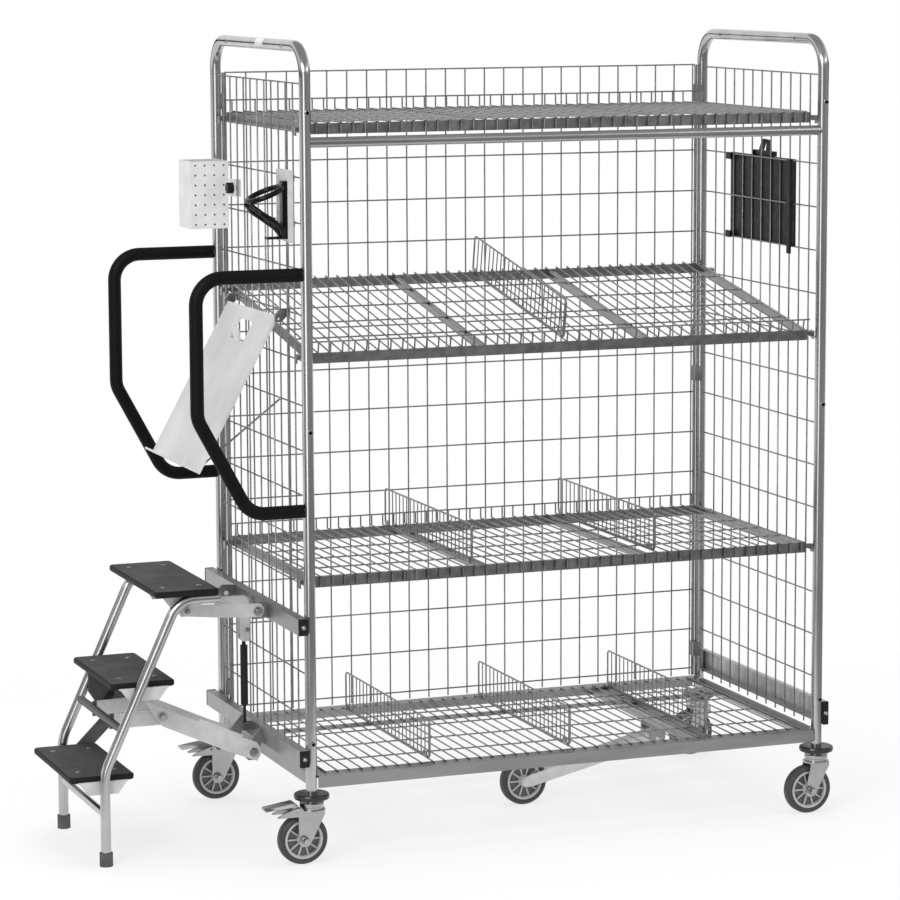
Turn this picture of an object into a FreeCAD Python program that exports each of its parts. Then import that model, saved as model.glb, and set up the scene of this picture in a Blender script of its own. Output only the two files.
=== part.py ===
import FreeCAD, Part
import math
import operator
import os
from types import SimpleNamespace

import Sketcher
from FreeCAD import Placement, Rotation, Vector

doc = FreeCAD.newDocument("order_picking_trolley")
sheet = doc.addObject("Spreadsheet::Sheet", "sizes")

# Driving sizes, in millimetres; a text starting with = is worked out by the sheet
table = {
    "End frames": {
        "length": 1375,
        "width": 715,
        "height": 2000,
        "tube_d": 28,
        "tube_wall": 2,
        "hoop_bend": 75,
        "post_foot": 152,
        "hoop_hole_d": 6.5,
        "hoop_hole_spacing": 440,
    },
    "Where the posts stand": {
        "ladder_reach": "=foot_out + tread_depth / 2",
        "left_x": "=(ladder_reach - length - bumper_d / 2) / 2",
        "right_x": "=left_x + length",
        "front_y": "=-width / 2",
        "rear_y": "=width / 2",
        "post_r": "=tube_d / 2",
    },
    "Wire mesh": {
        "mesh_wire": 4,
        "mesh_pitch_up": 110,
        "mesh_pitch_end": 55.5,
        "mesh_pitch_back": 55,
        "mesh_top": 1893,
        "mesh_tail": 20,
        "wire_gap": 0.2,
        "edge_rod_d": 8,
        "edge_rod_inset": 6,
        "clip_wide": 24,
        "clip_deep": 22,
        "clip_tall": 40,
        "fit_gap": 0.1,
    },
    "Post bolts": {
        "bolt_low": 298,
        "bolt_spacing": 766,
        "bolt_head_d": 13,
        "bolt_head": 5,
    },
    "Front bar": {
        "bar_d": 25,
        "bar_z": 1759,
    },
    "Base": {
        "base_top": 218,
        "base_leg": 30,
        "base_flange": 46,
        "base_sheet": 3,
        "base_wire": 4,
        "base_pitch": 31.5,
        "deck_lap": 20,
        "gusset": 80,
        "stiffener_wide": 40,
        "beam_wide": 40,
        "beam_tall": 24,
        "beam_drop": 6.5,
    },
    "Shelves": {
        "shelf_inset": 20,
        "shelf_depth": 660,
        "shelf_rail": 5,
        "shelf_rail_tall": 26,
        "deck_wire": 4,
        "deck_pitch": 31,
        "support_wide": 18,
        "support_tall": 16,
        "lip_out": 8,
        "lip_down": 25,
        "lip_up": 28,
        "hook_wide": 14,
        "hook_rise": 20,
        "hook_thick": 9,
        "hook_tip": 3,
        "hook_drop": 12,
    },
    "Dividers": {
        "divider_tall": 100,
        "divider_inset": 15,
        "divider_wire": 4.5,
        "divider_bar": 3,
        "divider_pitch": 27,
        "divider_bend": 10,
        "shoe_in": 24,
        "shoe_long": 26,
        "shoe_tall": 16,
        "shoe_sheet": 2,
    },
    "Handles": {
        "handle_d": 22,
        "grip_d": 33,
        "handle_top": 1444,
        "handle_low": 872,
        "handle_out": 277,
        "handle_knee": 1108,
        "handle_heel": 150,
        "handle_bend": 66,
        "grip_end": 2,
    },
    "Ladder rails": {
        "rail_tall": 40,
        "rail_deep": 24,
        "rail_wall": 3,
        "rail_past": 25,
        "upper_rail_z": 592,
        "lower_rail_z": 266,
        "right_rail_z": 260,
        "right_rail_tall": 60,
        "right_rail_deep": 14,
        "right_rail_past": 8,
        "plug_long": 14,
    },
    "Ladder linkage": {
        "pivot_out": 62,
        "upper_pivot_z": 592,
        "lower_pivot_z": 224,
        "upper_half": 132,
        "lower_half": 85,
        "upper_run": 182,
        "upper_climb": 12,
        "lower_run": 235,
        "lower_climb": 109,
        "arm_sheet": 5,
        "upper_arm_tall": 34,
        "upper_tip_tall": 26,
        "lower_arm_tall": 48,
        "lower_arm_past": 46,
        "ear_sheet": 5,
        "ear_tall": 44,
        "pivot_d": 12,
        "open_pivot_d": 16,
        "pivot_head_d": 20,
        "pivot_head": 5,
        "side_gap": 0.5,
        "run_fit": 0.05,
        "lug_drop": 88,
        "lug_out": 6,
        "lug_wide": 24,
        "lug_sheet": 8,
        "tie_d": 14,
        "lock_rod_d": 9,
        "lock_rod_up": 4,
    },
    "Gas spring": {
        "spring_d": 19,
        "spring_rod_d": 8,
        "spring_eye_z": 272,
        "spring_eye_out": 56,
        "spring_length": 152,
        "spring_eye_d": 20,
        "spring_eye_thick": 10,
        "spring_pin_d": 8,
        "spring_open_d": 13,
        "clevis_sheet": 4,
        "spring_neck": 14,
        "spring_neck_d": 10,
    },
    "Ladder": {
        "foot_out": 478,
        "stringer_d": 25,
        "stringer_wall": 2,
        "stringer_half": 202.5,
        "stringer_top": 645,
        "stringer_out": 180,
        "shoulder_out": 287,
        "knee_z": 230,
        "shoulder_bend": 70,
        "knee_bend": 110,
        "foot_tall": 34,
        "foot_d": 33,
        "cross_d": 20,
        "cross_z": 128,
        "tread_depth": 163,
        "tread_thick": 13,
        "tread_round": 8,
        "tread_rise": 225,
        "tread_going": 107,
        "tread_edge": 4,
        "tread_side_gap": 8,
        "tray_sheet": 3,
        "tray_depth": 124,
        "tray_flange": 32,
        "bracket_tall": 42,
        "spine_sheet": 5,
        "release_d": 12,
        "release_long": 62,
        "release_arm": 30,
    },
    "Castors": {
        "wheel_d": 125,
        "wheel_wide": 32,
        "tyre_deep": 14,
        "tyre_round": 7,
        "rim_deep": 8,
        "rim_wide": 28,
        "web_thick": 7,
        "rib_thick": 4,
        "rib_wide": 18,
        "hub_d": 34,
        "hub_wide": 40,
        "axle_d": 12,
        "trail": 25,
        "crown_gap": 6,
        "crown_thick": 5,
        "crown_d": 66,
        "race_d": 54,
        "stem_plate": 9,
        "stem_plate_d": 60,
        "stem_long": 42,
        "king_d": 12,
        "king_long": 30,
        "leg_sheet": 3,
        "leg_foot": 32,
        "bumper_d": 88,
        "bumper_tall": 15,
        "bumper_z": 160,
        "bumper_round": 5,
        "axle_nut_d": 20,
        "axle_nut": 6,
        "swivel_gap": 0.3,
    },
    "Brake pedals": {
        "pedal_pivot_out": 43,
        "pedal_pivot_up": 7,
        "pedal_wide": 38,
        "pedal_sheet": 5,
        "pedal_pin_d": 6,
        "pedal_barrel_d": 11,
        "pedal_long": 80,
        "pedal_climb": 3,
        "pedal_root": 19,
        "pedal_ear": 11,
        "fender_out": 95,
    },
    "Fifth wheel": {
        "fifth_x": 703,
        "fifth_pivot_run": 372,
        "fifth_pivot_z": 150,
        "fifth_arm_tall": 34,
        "fifth_tip_tall": 26,
        "cheek_sheet": 5,
        "cheek_wide": 44,
        "fifth_tie_d": 16,
    },
    "Perforated holder": {
        "holder_long": 100,
        "holder_deep": 105,
        "holder_tall": 171,
        "holder_low": 1513,
        "holder_wall": 2,
        "overrun": 2,
        "holder_rear": 699,
        "holder_hole_d": 5,
        "holder_pitch": 25,
        "flange_past": 44,
        "mesh_clear": 0.4,
        "knob_d": 28,
        "knob_deep": 16,
        "knob_stud_d": 8,
        "nut_thick": 4,
    },
    "Bottle cage": {
        "cage_y": 118,
        "cage_low": 1522,
        "cage_tall": 140,
        "bottle_d": 76,
        "cage_rod": 8,
        "cage_strip": 24,
        "cage_floor": 54,
        "cage_floor_thick": 5.5,
        "cage_back": 14,
        "plate_wide": 90,
        "plate_low": 1515,
        "plate_tall": 174,
        "plate_fold": 14,
        "plate_sheet": 3,
        "plate_hook_wide": 22,
    },
    "Document board": {
        "board_wide": 400,
        "board_long": 424,
        "board_sheet": 5,
        "board_lip": 22,
        "board_top_z": 1325,
        "board_top_out": 24,
        "board_fall": 372,
        "board_swing": 204,
        "board_slot_wide": 110,
        "board_slot_tall": 56,
        "board_slot_in": 26,
        "board_hook_wide": 44,
        "board_hook_out": 20,
        "board_hook_sheet": 3,
        "hinge_rod_d": 6,
        "hinge_hook_wide": 12,
        "hinge_hook_sheet": 4,
        "stay_d": 5,
        "stay_bend": 10,
        "stay_lug": 12,
        "stay_lug_wide": 20,
        "stay_half": 170,
    },
    "Clipboard": {
        "clip_board_wide": 380,
        "clip_board_tall": 226,
        "clip_board_low": 1450,
        "clip_board_sheet": 4,
        "clamp_wide": 26,
        "clamp_tall": 18,
        "clamp_deep": 6,
        "strip_wide": 16,
        "strip_past": 16,
        "jaw_wide": 110,
        "jaw_tall": 46,
        "jaw_sheet": 2,
        "jaw_barrel_d": 10,
        "jaw_above": 8,
        "jaw_pin_d": 2,
        "jaw_lever": 34,
        "jaw_flare": 10,
        "jaw_tine": 24,
    },
}

row = 0
names = []
for heading, entries in table.items():
    row += 1
    sheet.set(f"A{row}", heading)
    for alias, amount in entries.items():
        row += 1
        sheet.set(f"A{row}", alias.replace("_", " "))
        sheet.set(f"B{row}", str(amount))
        sheet.setAlias(f"B{row}", alias)
        names.append(alias)
doc.recompute()


class Size:
    # A length that keeps the sheet formula it came from, so a feature can be bound to it
    def __init__(self, value, formula):
        self.value = value
        self.formula = formula

    def join(self, other, sign, work, swapped=False):
        other = other if isinstance(other, Size) else Size(other, repr(other))
        first, second = (other, self) if swapped else (self, other)
        return Size(work(first.value, second.value), f"({first.formula} {sign} {second.formula})")

    def __add__(self, other):
        return self.join(other, "+", operator.add)

    def __radd__(self, other):
        return self.join(other, "+", operator.add, True)

    def __sub__(self, other):
        return self.join(other, "-", operator.sub)

    def __rsub__(self, other):
        return self.join(other, "-", operator.sub, True)

    def __mul__(self, other):
        return self.join(other, "*", operator.mul)

    def __rmul__(self, other):
        return self.join(other, "*", operator.mul, True)

    def __truediv__(self, other):
        return self.join(other, "/", operator.truediv)

    def __neg__(self):
        return self * -1

    def __float__(self):
        return float(self.value)


dim = SimpleNamespace(**{name: Size(float(sheet.get(name)), f"sizes.{name}") for name in names})

# Counts, and places given as shares of the size that they follow
mesh_rows = 16
end_wires = 11
back_wires = 25
post_bolts = 3
wheel_ribs = 10
holder_columns = 4
holder_rows = 7
cross_wire_shares = (0.2, 0.4, 0.6, 0.8)
support_shares = (0.34, 0.67)
stiffener_share = 0.66
top_shelf_row = 1
tilted_rear_row = 5
tilted_front_row = 6
flat_shelf_row = 11
board_hinge_row = 5
cage_rows = (2, 3)
tilted_divider_shares = (0.5,)
flat_divider_shares = (0.31, 0.69)
base_divider_shares = (0.22, 0.512, 0.805)

treads = 3
knob_grooves = 8
corner_share = 0.4
nose_share = 0.6
slant_share = 0.7
blunt_share = 0.8
bevel_share = 0.3
arm_tie_share = 0.3
arm_waist_share = 0.25
arm_slope_share = 0.46
arm_dip_share = 0.2
lower_tie_shares = (0.3, 0.62)
bore_share = 0.9
piston_share = 0.6
spine_shares = (
    (0.62, 0.64),
    (0.62, 0.99),
    (1.34, 0.99),
    (1.5, 0.59),
    (1.6, 0.44),
    (0.77, 0.055),
    (0.36, -0.12),
    (-0.05, -0.11),
    (0.37, 0.075),
    (0.89, 0.32),
    (0.92, 0.42),
)
release_place_shares = (1.18, 0.6)
lock_rod_shares = (0.12, 0.6)
tyre_crown_share = 1.2
pedal_heel_share = 1.4
fender_shares = ((0.34, 0.75), (0.5, 0.7), (0.77, 0.25), (1, -0.25), (1, -0.45))
fifth_back_share = 1.4
fifth_tie_shares = (0.4, 0.75)
knob_place_share = 3.5
groove_place_share = 0.56
cage_hook_share = -4.5
cage_ring_share = 0.78
cage_ring_lean = -22
cage_strut_turns = (158, 120, 80, 40, 14)
cage_strut_shares = (0.6, 0.47, 0.33, 0.18, 0.06)
stay_lug_share = 0.6
tine_place_share = 0.5
straight_share = 0.999
tiny_share = 1e-6

nodes = {}


def keep(label, item):
    item.Label = label
    nodes[label] = item
    return item


def bind(item, path, amount):
    if isinstance(amount, Size):
        item.setExpression(path, amount.formula)
    else:
        setattr(item, path, amount)


def seat(item, place, turn=Rotation()):
    item.Placement = Placement(Vector(*[float(amount) for amount in place]), turn)
    for letter, amount in zip("xyz", place):
        if isinstance(amount, Size):
            item.setExpression(f".Placement.Base.{letter}", amount.formula)
    return item


along = {
    "x": Rotation(Vector(0, 1, 0), 90),
    "y": Rotation(Vector(1, 0, 0), -90),
    "z": Rotation(),
}


def block(name, sides, corner):
    item = doc.addObject("Part::Box", name)
    for side, amount in zip(("Length", "Width", "Height"), sides):
        bind(item, side, amount)
    return seat(item, corner)


def rod(name, diameter, reach, start, axis="z"):
    item = doc.addObject("Part::Cylinder", name)
    bind(item, "Radius", diameter / 2)
    bind(item, "Height", reach)
    return seat(item, start, along[axis])


def fuse(name, items):
    item = doc.addObject("Part::MultiFuse", name)
    item.Shapes = items
    return item


def cut(name, base, tool):
    item = doc.addObject("Part::Cut", name)
    item.Base = base
    item.Tool = tool
    return item


def group(name, items):
    item = doc.addObject("Part::Compound", name)
    item.Links = items
    return item


def shaped(name, shapes):
    item = doc.addObject("Part::Feature", name)
    item.Shape = shapes[0] if len(shapes) == 1 else Part.makeCompound(shapes)
    return item


# Bodies built from sketches whose every corner is tied to the sheet
def new_body(label, place=(0, 0, 0), turn=Rotation()):
    body = doc.addObject("PartDesign::Body", label)
    body.AllowCompound = True
    return seat(body, place, turn)


def plane_of(body, role):
    return next(item for item in body.Origin.OriginFeatures if item.Role == role)


def new_sketch(body, role):
    sketch = body.newObject("Sketcher::SketchObject", f"{body.Name}_sketch")
    sketch.AttachmentSupport = [(plane_of(body, role), "")]
    sketch.MapMode = "FlatFace"
    return sketch


def tie(sketch, geometry, end, place):
    for kind, axis, amount in zip(("DistanceX", "DistanceY"), (-2, -1), place):
        if float(amount) == 0:
            sketch.addConstraint(Sketcher.Constraint("PointOnObject", geometry, end, axis))
            continue
        made = sketch.addConstraint(Sketcher.Constraint(kind, -1, 1, geometry, end, float(amount)))
        sketch.setExpression(f"Constraints[{made}]", amount.formula)


def outline(sketch, corners):
    count = len(corners)
    points = [Vector(float(x), float(y), 0) for x, y in corners]
    first = sketch.GeometryCount
    for index in range(count):
        sketch.addGeometry(Part.LineSegment(points[index], points[(index + 1) % count]))
    for index in range(count):
        after = first + (index + 1) % count
        sketch.addConstraint(Sketcher.Constraint("Coincident", first + index, 2, after, 1))
    for index, corner in enumerate(corners):
        tie(sketch, first + index, 1, corner)
    return sketch


def circle(sketch, centre, diameter):
    middle = Vector(float(centre[0]), float(centre[1]), 0)
    made = sketch.addGeometry(Part.Circle(middle, Vector(0, 0, 1), float(diameter) / 2))
    tie(sketch, made, 3, centre)
    size = sketch.addConstraint(Sketcher.Constraint("Diameter", made, float(diameter)))
    sketch.setExpression(f"Constraints[{size}]", diameter.formula)
    return sketch


def pad(body, sketch, amount):
    feature = body.newObject("PartDesign::Pad", f"{body.Name}_pad")
    feature.Profile = sketch
    feature.SideType = "Symmetric"
    bind(feature, "Length", amount)
    doc.recompute()
    return feature


def pocket(body, sketch):
    before = body.Shape.Volume
    feature = body.newObject("PartDesign::Pocket", f"{body.Name}_pocket")
    feature.Profile = sketch
    feature.Type = "ThroughAll"
    feature.SideType = "Symmetric"
    doc.recompute()
    if body.Shape.Volume >= before:
        raise RuntimeError(f"{body.Label}: the pocket cuts nothing")
    return feature


def revolve(body, sketch):
    feature = body.newObject("PartDesign::Revolution", f"{body.Name}_revolution")
    feature.Profile = sketch
    feature.ReferenceAxis = (sketch, ["V_Axis"])
    feature.Angle = 360
    doc.recompute()
    return feature


def fillet(body, base, edges, radius):
    feature = body.newObject("PartDesign::Fillet", f"{body.Name}_fillet")
    feature.Base = (base, edges)
    bind(feature, "Radius", radius)
    doc.recompute()
    return feature


def straight_edges(feature, axis):
    # Names of the straight edges that run along one axis
    found = []
    for index, edge in enumerate(feature.Shape.Edges, 1):
        if isinstance(edge.Curve, Part.Line) and abs(edge.Curve.Direction.dot(axis)) > straight_share:
            found.append(f"Edge{index}")
    return found


def top_edges(feature):
    # Names of the edges that lie wholly in the top plane
    high = feature.Shape.BoundBox.ZMax
    near = feature.Shape.BoundBox.ZLength * tiny_share
    edges = enumerate(feature.Shape.Edges, 1)
    return [f"Edge{index}" for index, edge in edges if high - edge.BoundBox.ZMin < near]


# Round wires and bent tubes
def wire(diameter, start, end):
    start = Vector(*[float(amount) for amount in start])
    end = Vector(*[float(amount) for amount in end])
    reach = end - start
    return Part.makeCylinder(float(diameter) / 2, reach.Length, start, reach)


def bent_path(points, bends, closed=False):
    points = [Vector(*[float(amount) for amount in point]) for point in points]
    count = len(points)
    edges = []
    cursor = None
    first = None
    turns = range(count) if closed else range(1, count - 1)
    if not closed:
        cursor = points[0]
    for index in turns:
        corner = points[index]
        back = (points[index - 1] - corner).normalize()
        ahead = (points[(index + 1) % count] - corner).normalize()
        half = back.getAngle(ahead) / 2
        radius = float(bends[index % len(bends)])
        reach = radius / math.tan(half)
        enter = corner + back * reach
        leave = corner + ahead * reach
        middle = (back + ahead).normalize()
        centre = corner + middle * (radius / math.sin(half))
        top = centre - middle * radius
        if cursor is None:
            first = enter
        elif (enter - cursor).Length > radius * tiny_share:
            edges.append(Part.LineSegment(cursor, enter).toShape())
        edges.append(Part.Arc(enter, top, leave).toShape())
        cursor = leave
    last = first if closed else points[-1]
    edges.append(Part.LineSegment(cursor, last).toShape())
    return Part.Wire(edges)


def swept(path, diameter):
    start = path.Edges[0]
    origin = start.valueAt(start.FirstParameter)
    heading = start.tangentAt(start.FirstParameter)
    section = Part.Wire([Part.makeCircle(float(diameter) / 2, origin, heading)])
    return path.makePipeShell([section], True, True)


def hollow(path, diameter, wall):
    return swept(path, diameter).cut(swept(path, diameter - wall * 2))


# End frames: one bent tube each, posts and hoop together
hoop_z = dim.height - dim.post_r


def end_tube(x):
    path = bent_path(
        [
            (x, dim.front_y, dim.post_foot),
            (x, dim.front_y, hoop_z),
            (x, dim.rear_y, hoop_z),
            (x, dim.rear_y, dim.post_foot),
        ],
        [dim.hoop_bend],
    )
    return hollow(path, dim.tube_d, dim.tube_wall)


keep("left_end_frame", shaped("left_end_frame", [end_tube(dim.left_x)]))
right_tube = end_tube(dim.right_x)
for side in (-1, 1):
    hole_y = float(dim.hoop_hole_spacing / 2) * side
    hole_start = Vector(float(dim.right_x - dim.tube_d), hole_y, float(hoop_z))
    right_tube = right_tube.cut(
        Part.makeCylinder(float(dim.hoop_hole_d) / 2, float(dim.tube_d), hole_start, Vector(1, 0, 0))
    )
keep("right_end_frame", shaped("right_end_frame", [right_tube]))

# Wire mesh of the two ends and the back
cross = dim.mesh_wire + dim.wire_gap


def row_z(index):
    return dim.mesh_top - dim.mesh_pitch_up * index


mesh_low = row_z(mesh_rows - 1) - dim.mesh_tail


def end_mesh(x, outward):
    shapes = []
    for index in range(mesh_rows):
        start = (x, dim.front_y + dim.post_r, row_z(index))
        shapes.append(wire(dim.mesh_wire, start, (x, dim.rear_y - dim.post_r, row_z(index))))
    for index in range(end_wires):
        y = dim.mesh_pitch_end * (index - (end_wires - 1) / 2)
        side = x + cross * outward
        shapes.append(wire(dim.mesh_wire, (side, y, mesh_low), (side, y, dim.mesh_top + dim.mesh_wire / 2)))
    return shapes


keep("left_end_mesh", shaped("left_end_mesh", end_mesh(dim.left_x, -1)))
keep("right_end_mesh", shaped("right_end_mesh", end_mesh(dim.right_x, 1)))

edge_reach = dim.post_r + dim.edge_rod_inset
back_shapes = []
for side_x in (dim.left_x + edge_reach, dim.right_x - edge_reach):
    back_shapes.append(
        wire(dim.edge_rod_d, (side_x, dim.rear_y, mesh_low), (side_x, dim.rear_y, dim.mesh_top))
    )
for index in range(mesh_rows):
    start = dim.left_x + edge_reach + dim.edge_rod_d / 2
    end = dim.right_x - edge_reach - dim.edge_rod_d / 2
    back_shapes.append(
        wire(dim.mesh_wire, (start, dim.rear_y, row_z(index)), (end, dim.rear_y, row_z(index)))
    )
for index in range(back_wires):
    x = (dim.left_x + dim.right_x) / 2 + dim.mesh_pitch_back * (index - (back_wires - 1) / 2)
    y = dim.rear_y + cross
    back_shapes.append(wire(dim.mesh_wire, (x, y, mesh_low), (x, y, dim.mesh_top + dim.mesh_wire / 2)))
keep("back_mesh_panel", shaped("back_mesh_panel", back_shapes))

# Clips that hold the back panel to the rear posts
clips = []
for side, post_x in ((1, dim.left_x), (-1, dim.right_x)):
    for index in range(post_bolts):
        middle = dim.bolt_low + dim.bolt_spacing * index
        low = middle - dim.clip_tall / 2
        start = post_x if side > 0 else post_x - dim.clip_wide
        solid = block(
            f"clip_block_{len(clips)}",
            (dim.clip_wide, dim.clip_deep, dim.clip_tall),
            (start, dim.rear_y - dim.clip_deep + dim.edge_rod_d, low),
        )
        post = rod("clip_post", dim.tube_d + dim.fit_gap * 2, dim.clip_tall, (post_x, dim.rear_y, low))
        edge = rod(
            "clip_edge",
            dim.edge_rod_d + dim.fit_gap * 2,
            dim.clip_tall,
            (post_x + edge_reach * side, dim.rear_y, low),
        )
        slots = [post, edge]
        for line in range(mesh_rows):
            near = abs(float(row_z(line)) - float(middle)) < float(dim.clip_tall)
            if near:
                slots.append(
                    rod(
                        "clip_wire",
                        dim.mesh_wire + dim.fit_gap * 2,
                        dim.clip_wide * 2,
                        (post_x - dim.clip_wide, dim.rear_y, row_z(line)),
                        "x",
                    )
                )
        clips.append(cut(f"clip_{len(clips)}", solid, fuse("clip_slots", slots)))
keep("back_panel_clips", group("back_panel_clips", clips))

# Bolts in the front posts
bolts = []
for post_x in (dim.left_x, dim.right_x):
    for index in range(post_bolts):
        bolts.append(
            rod(
                f"post_bolt_{len(bolts)}",
                dim.bolt_head_d,
                dim.bolt_head,
                (post_x, dim.front_y - dim.post_r - dim.bolt_head, dim.bolt_low + dim.bolt_spacing * index),
                "y",
            )
        )
keep("post_bolts", group("post_bolts", bolts))

keep(
    "top_front_bar",
    rod(
        "top_front_bar",
        dim.bar_d,
        dim.length - dim.tube_d,
        (dim.left_x + dim.post_r, dim.front_y, dim.bar_z),
        "x",
    ),
)


# Base: folded angle rails, gussets at the posts, stiffeners under the wires
def angle_rail(name, reach, place, turn):
    # An angle with its upright leg outside and its flange on top, run along its own X
    body = new_body(name, place, turn)
    profile = outline(
        new_sketch(body, "YZ_Plane"),
        [
            (0, -dim.base_leg),
            (dim.base_sheet, -dim.base_leg),
            (dim.base_sheet, -dim.base_sheet),
            (dim.base_flange, -dim.base_sheet),
            (dim.base_flange, 0),
            (0, 0),
        ],
    )
    pad(body, profile, reach)
    return body


middle_x = (dim.left_x + dim.right_x) / 2
rail_reach = dim.length - dim.tube_d
rail_front = dim.front_y - dim.post_r
side_reach = dim.width + dim.tube_d - dim.base_flange * 2
half_turn = Rotation(Vector(0, 0, 1), 180)
base_items = [
    angle_rail("base_front_rail", rail_reach, (middle_x, rail_front, dim.base_top), Rotation()),
    angle_rail("base_rear_rail", rail_reach, (middle_x, -rail_front, dim.base_top), half_turn),
    angle_rail(
        "base_left_rail", side_reach, (dim.left_x, 0, dim.base_top), Rotation(Vector(0, 0, 1), -90)
    ),
    angle_rail(
        "base_right_rail", side_reach, (dim.right_x, 0, dim.base_top), Rotation(Vector(0, 0, 1), 90)
    ),
]
under_flange = dim.base_top - dim.base_sheet
for side_x, post_x in ((1, dim.left_x), (-1, dim.right_x)):
    for side_y, post_y in ((1, dim.front_y), (-1, dim.rear_y)):
        gusset = new_body(
            f"gusset_{len(base_items)}", (post_x, post_y, under_flange - dim.base_sheet / 2)
        )
        inner = (dim.base_sheet - dim.post_r) * side_y
        shape = outline(
            new_sketch(gusset, "XY_Plane"),
            [
                (dim.post_r * side_x, inner),
                ((dim.post_r + dim.gusset) * side_x, inner),
                (dim.post_r * side_x, inner + dim.gusset * side_y),
            ],
        )
        pad(gusset, shape, dim.base_sheet)
        base_items.append(gusset)
clear_low = under_flange - dim.base_sheet
base_items.append(
    block(
        "base_stiffener",
        (rail_reach - dim.base_flange, dim.stiffener_wide, dim.base_sheet),
        (
            dim.left_x + dim.post_r + dim.base_flange / 2,
            dim.front_y + dim.width * stiffener_share,
            clear_low + dim.base_sheet,
        ),
    )
)
beam_x = dim.left_x + dim.fifth_x + dim.fifth_pivot_run
beam_low = dim.base_top - dim.beam_drop - dim.beam_tall
base_items.append(
    block(
        "fifth_wheel_beam",
        (dim.beam_wide, (dim.post_r - dim.base_sheet) * 2 + dim.width, dim.beam_tall),
        (beam_x - dim.beam_wide / 2, rail_front + dim.base_sheet, beam_low),
    )
)
keep("base_frame", group("base_frame", base_items))

deck = []
deck_z = dim.base_top + dim.base_wire / 2
deck_count = int(float(rail_reach - dim.base_flange) // float(dim.base_pitch)) + 1


def deck_wire_x(index):
    return middle_x + dim.base_pitch * (index - (deck_count - 1) / 2)


deck_front = rail_front + dim.base_flange - dim.deck_lap
for index in range(deck_count):
    x = deck_wire_x(index)
    deck.append(wire(dim.base_wire, (x, deck_front, deck_z), (x, -deck_front, deck_z)))
for share in cross_wire_shares:
    y = dim.front_y + dim.width * share
    low = deck_z - dim.base_wire - dim.wire_gap
    reach = dim.base_flange + dim.wire_gap
    deck.append(wire(dim.base_wire, (dim.left_x + reach, y, low), (dim.right_x - reach, y, low)))
keep("base_deck_wires", shaped("base_deck_wires", deck))


# Shelves: a flat-bar frame that hooks over the end mesh, with a mat of wires on it
shelf_span = dim.length - dim.shelf_inset * 2
half_depth = dim.shelf_depth / 2
hook_gaps = int(float(half_depth - dim.hook_wide) / float(dim.mesh_pitch_end) - 1 / 2)
hook_place = dim.mesh_pitch_end * (hook_gaps * 2 + 1) / 2


def shelf_place(front_row, rear_row):
    rise = float(row_z(rear_row) - row_z(front_row))
    steep = rise / float(hook_place * 2)
    z = (row_z(front_row) + row_z(rear_row)) / 2 + dim.hook_rise + dim.hook_wide / 2 * steep
    tilt = math.degrees(math.asin(steep))
    return (dim.left_x + dim.shelf_inset, 0, z), Rotation(Vector(1, 0, 0), tilt)


def shelf_hook(name, side, y):
    # Reaches over the mesh wire from a side rail, with a tip behind the mesh
    start = 0 if side < 0 else shelf_span
    body = new_body(name, (start, y, 0))
    rest = dim.mesh_wire / 2 + dim.wire_gap - dim.hook_rise
    tip = dim.shelf_inset + cross + dim.mesh_wire / 2 + dim.wire_gap
    profile = outline(
        new_sketch(body, "XZ_Plane"),
        [
            (0, rest),
            (tip * side, rest),
            (tip * side, rest - dim.hook_drop),
            ((tip + dim.hook_tip) * side, rest - dim.hook_drop),
            ((tip + dim.hook_tip) * side, rest + dim.hook_thick),
            (0, rest + dim.hook_thick),
        ],
    )
    pad(body, profile, dim.hook_wide)
    return body


def shelf_frame(label, front_row, rear_row):
    inner = dim.shelf_depth - dim.shelf_rail * 2
    rail = dim.shelf_rail
    low = -dim.shelf_rail_tall
    items = [
        block(f"{label}_front", (shelf_span, rail, dim.shelf_rail_tall), (0, -half_depth, low)),
        block(f"{label}_rear", (shelf_span, rail, dim.shelf_rail_tall), (0, half_depth - rail, low)),
        block(f"{label}_left", (rail, inner, dim.shelf_rail_tall), (0, rail - half_depth, low)),
        block(
            f"{label}_right",
            (rail, inner, dim.shelf_rail_tall),
            (shelf_span - rail, rail - half_depth, low),
        ),
    ]
    below = -(dim.deck_wire + dim.wire_gap + dim.support_tall)
    for share in support_shares:
        x = shelf_span * share - dim.support_wide / 2
        items.append(
            block(
                f"{label}_support",
                (dim.support_wide, inner, dim.support_tall),
                (x, rail - half_depth, below),
            )
        )
    for side in (-1, 1):
        for end in (-1, 1):
            items.append(shelf_hook(f"{label}_hook", side, hook_place * end))
    return seat(group(label, items), *shelf_place(front_row, rear_row))


wire_inset = dim.shelf_rail + dim.deck_wire
shelf_count = int(float(shelf_span - wire_inset * 2) // float(dim.deck_pitch)) + 1


def shelf_wire_x(index):
    return shelf_span / 2 + dim.deck_pitch * (index - (shelf_count - 1) / 2)


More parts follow.
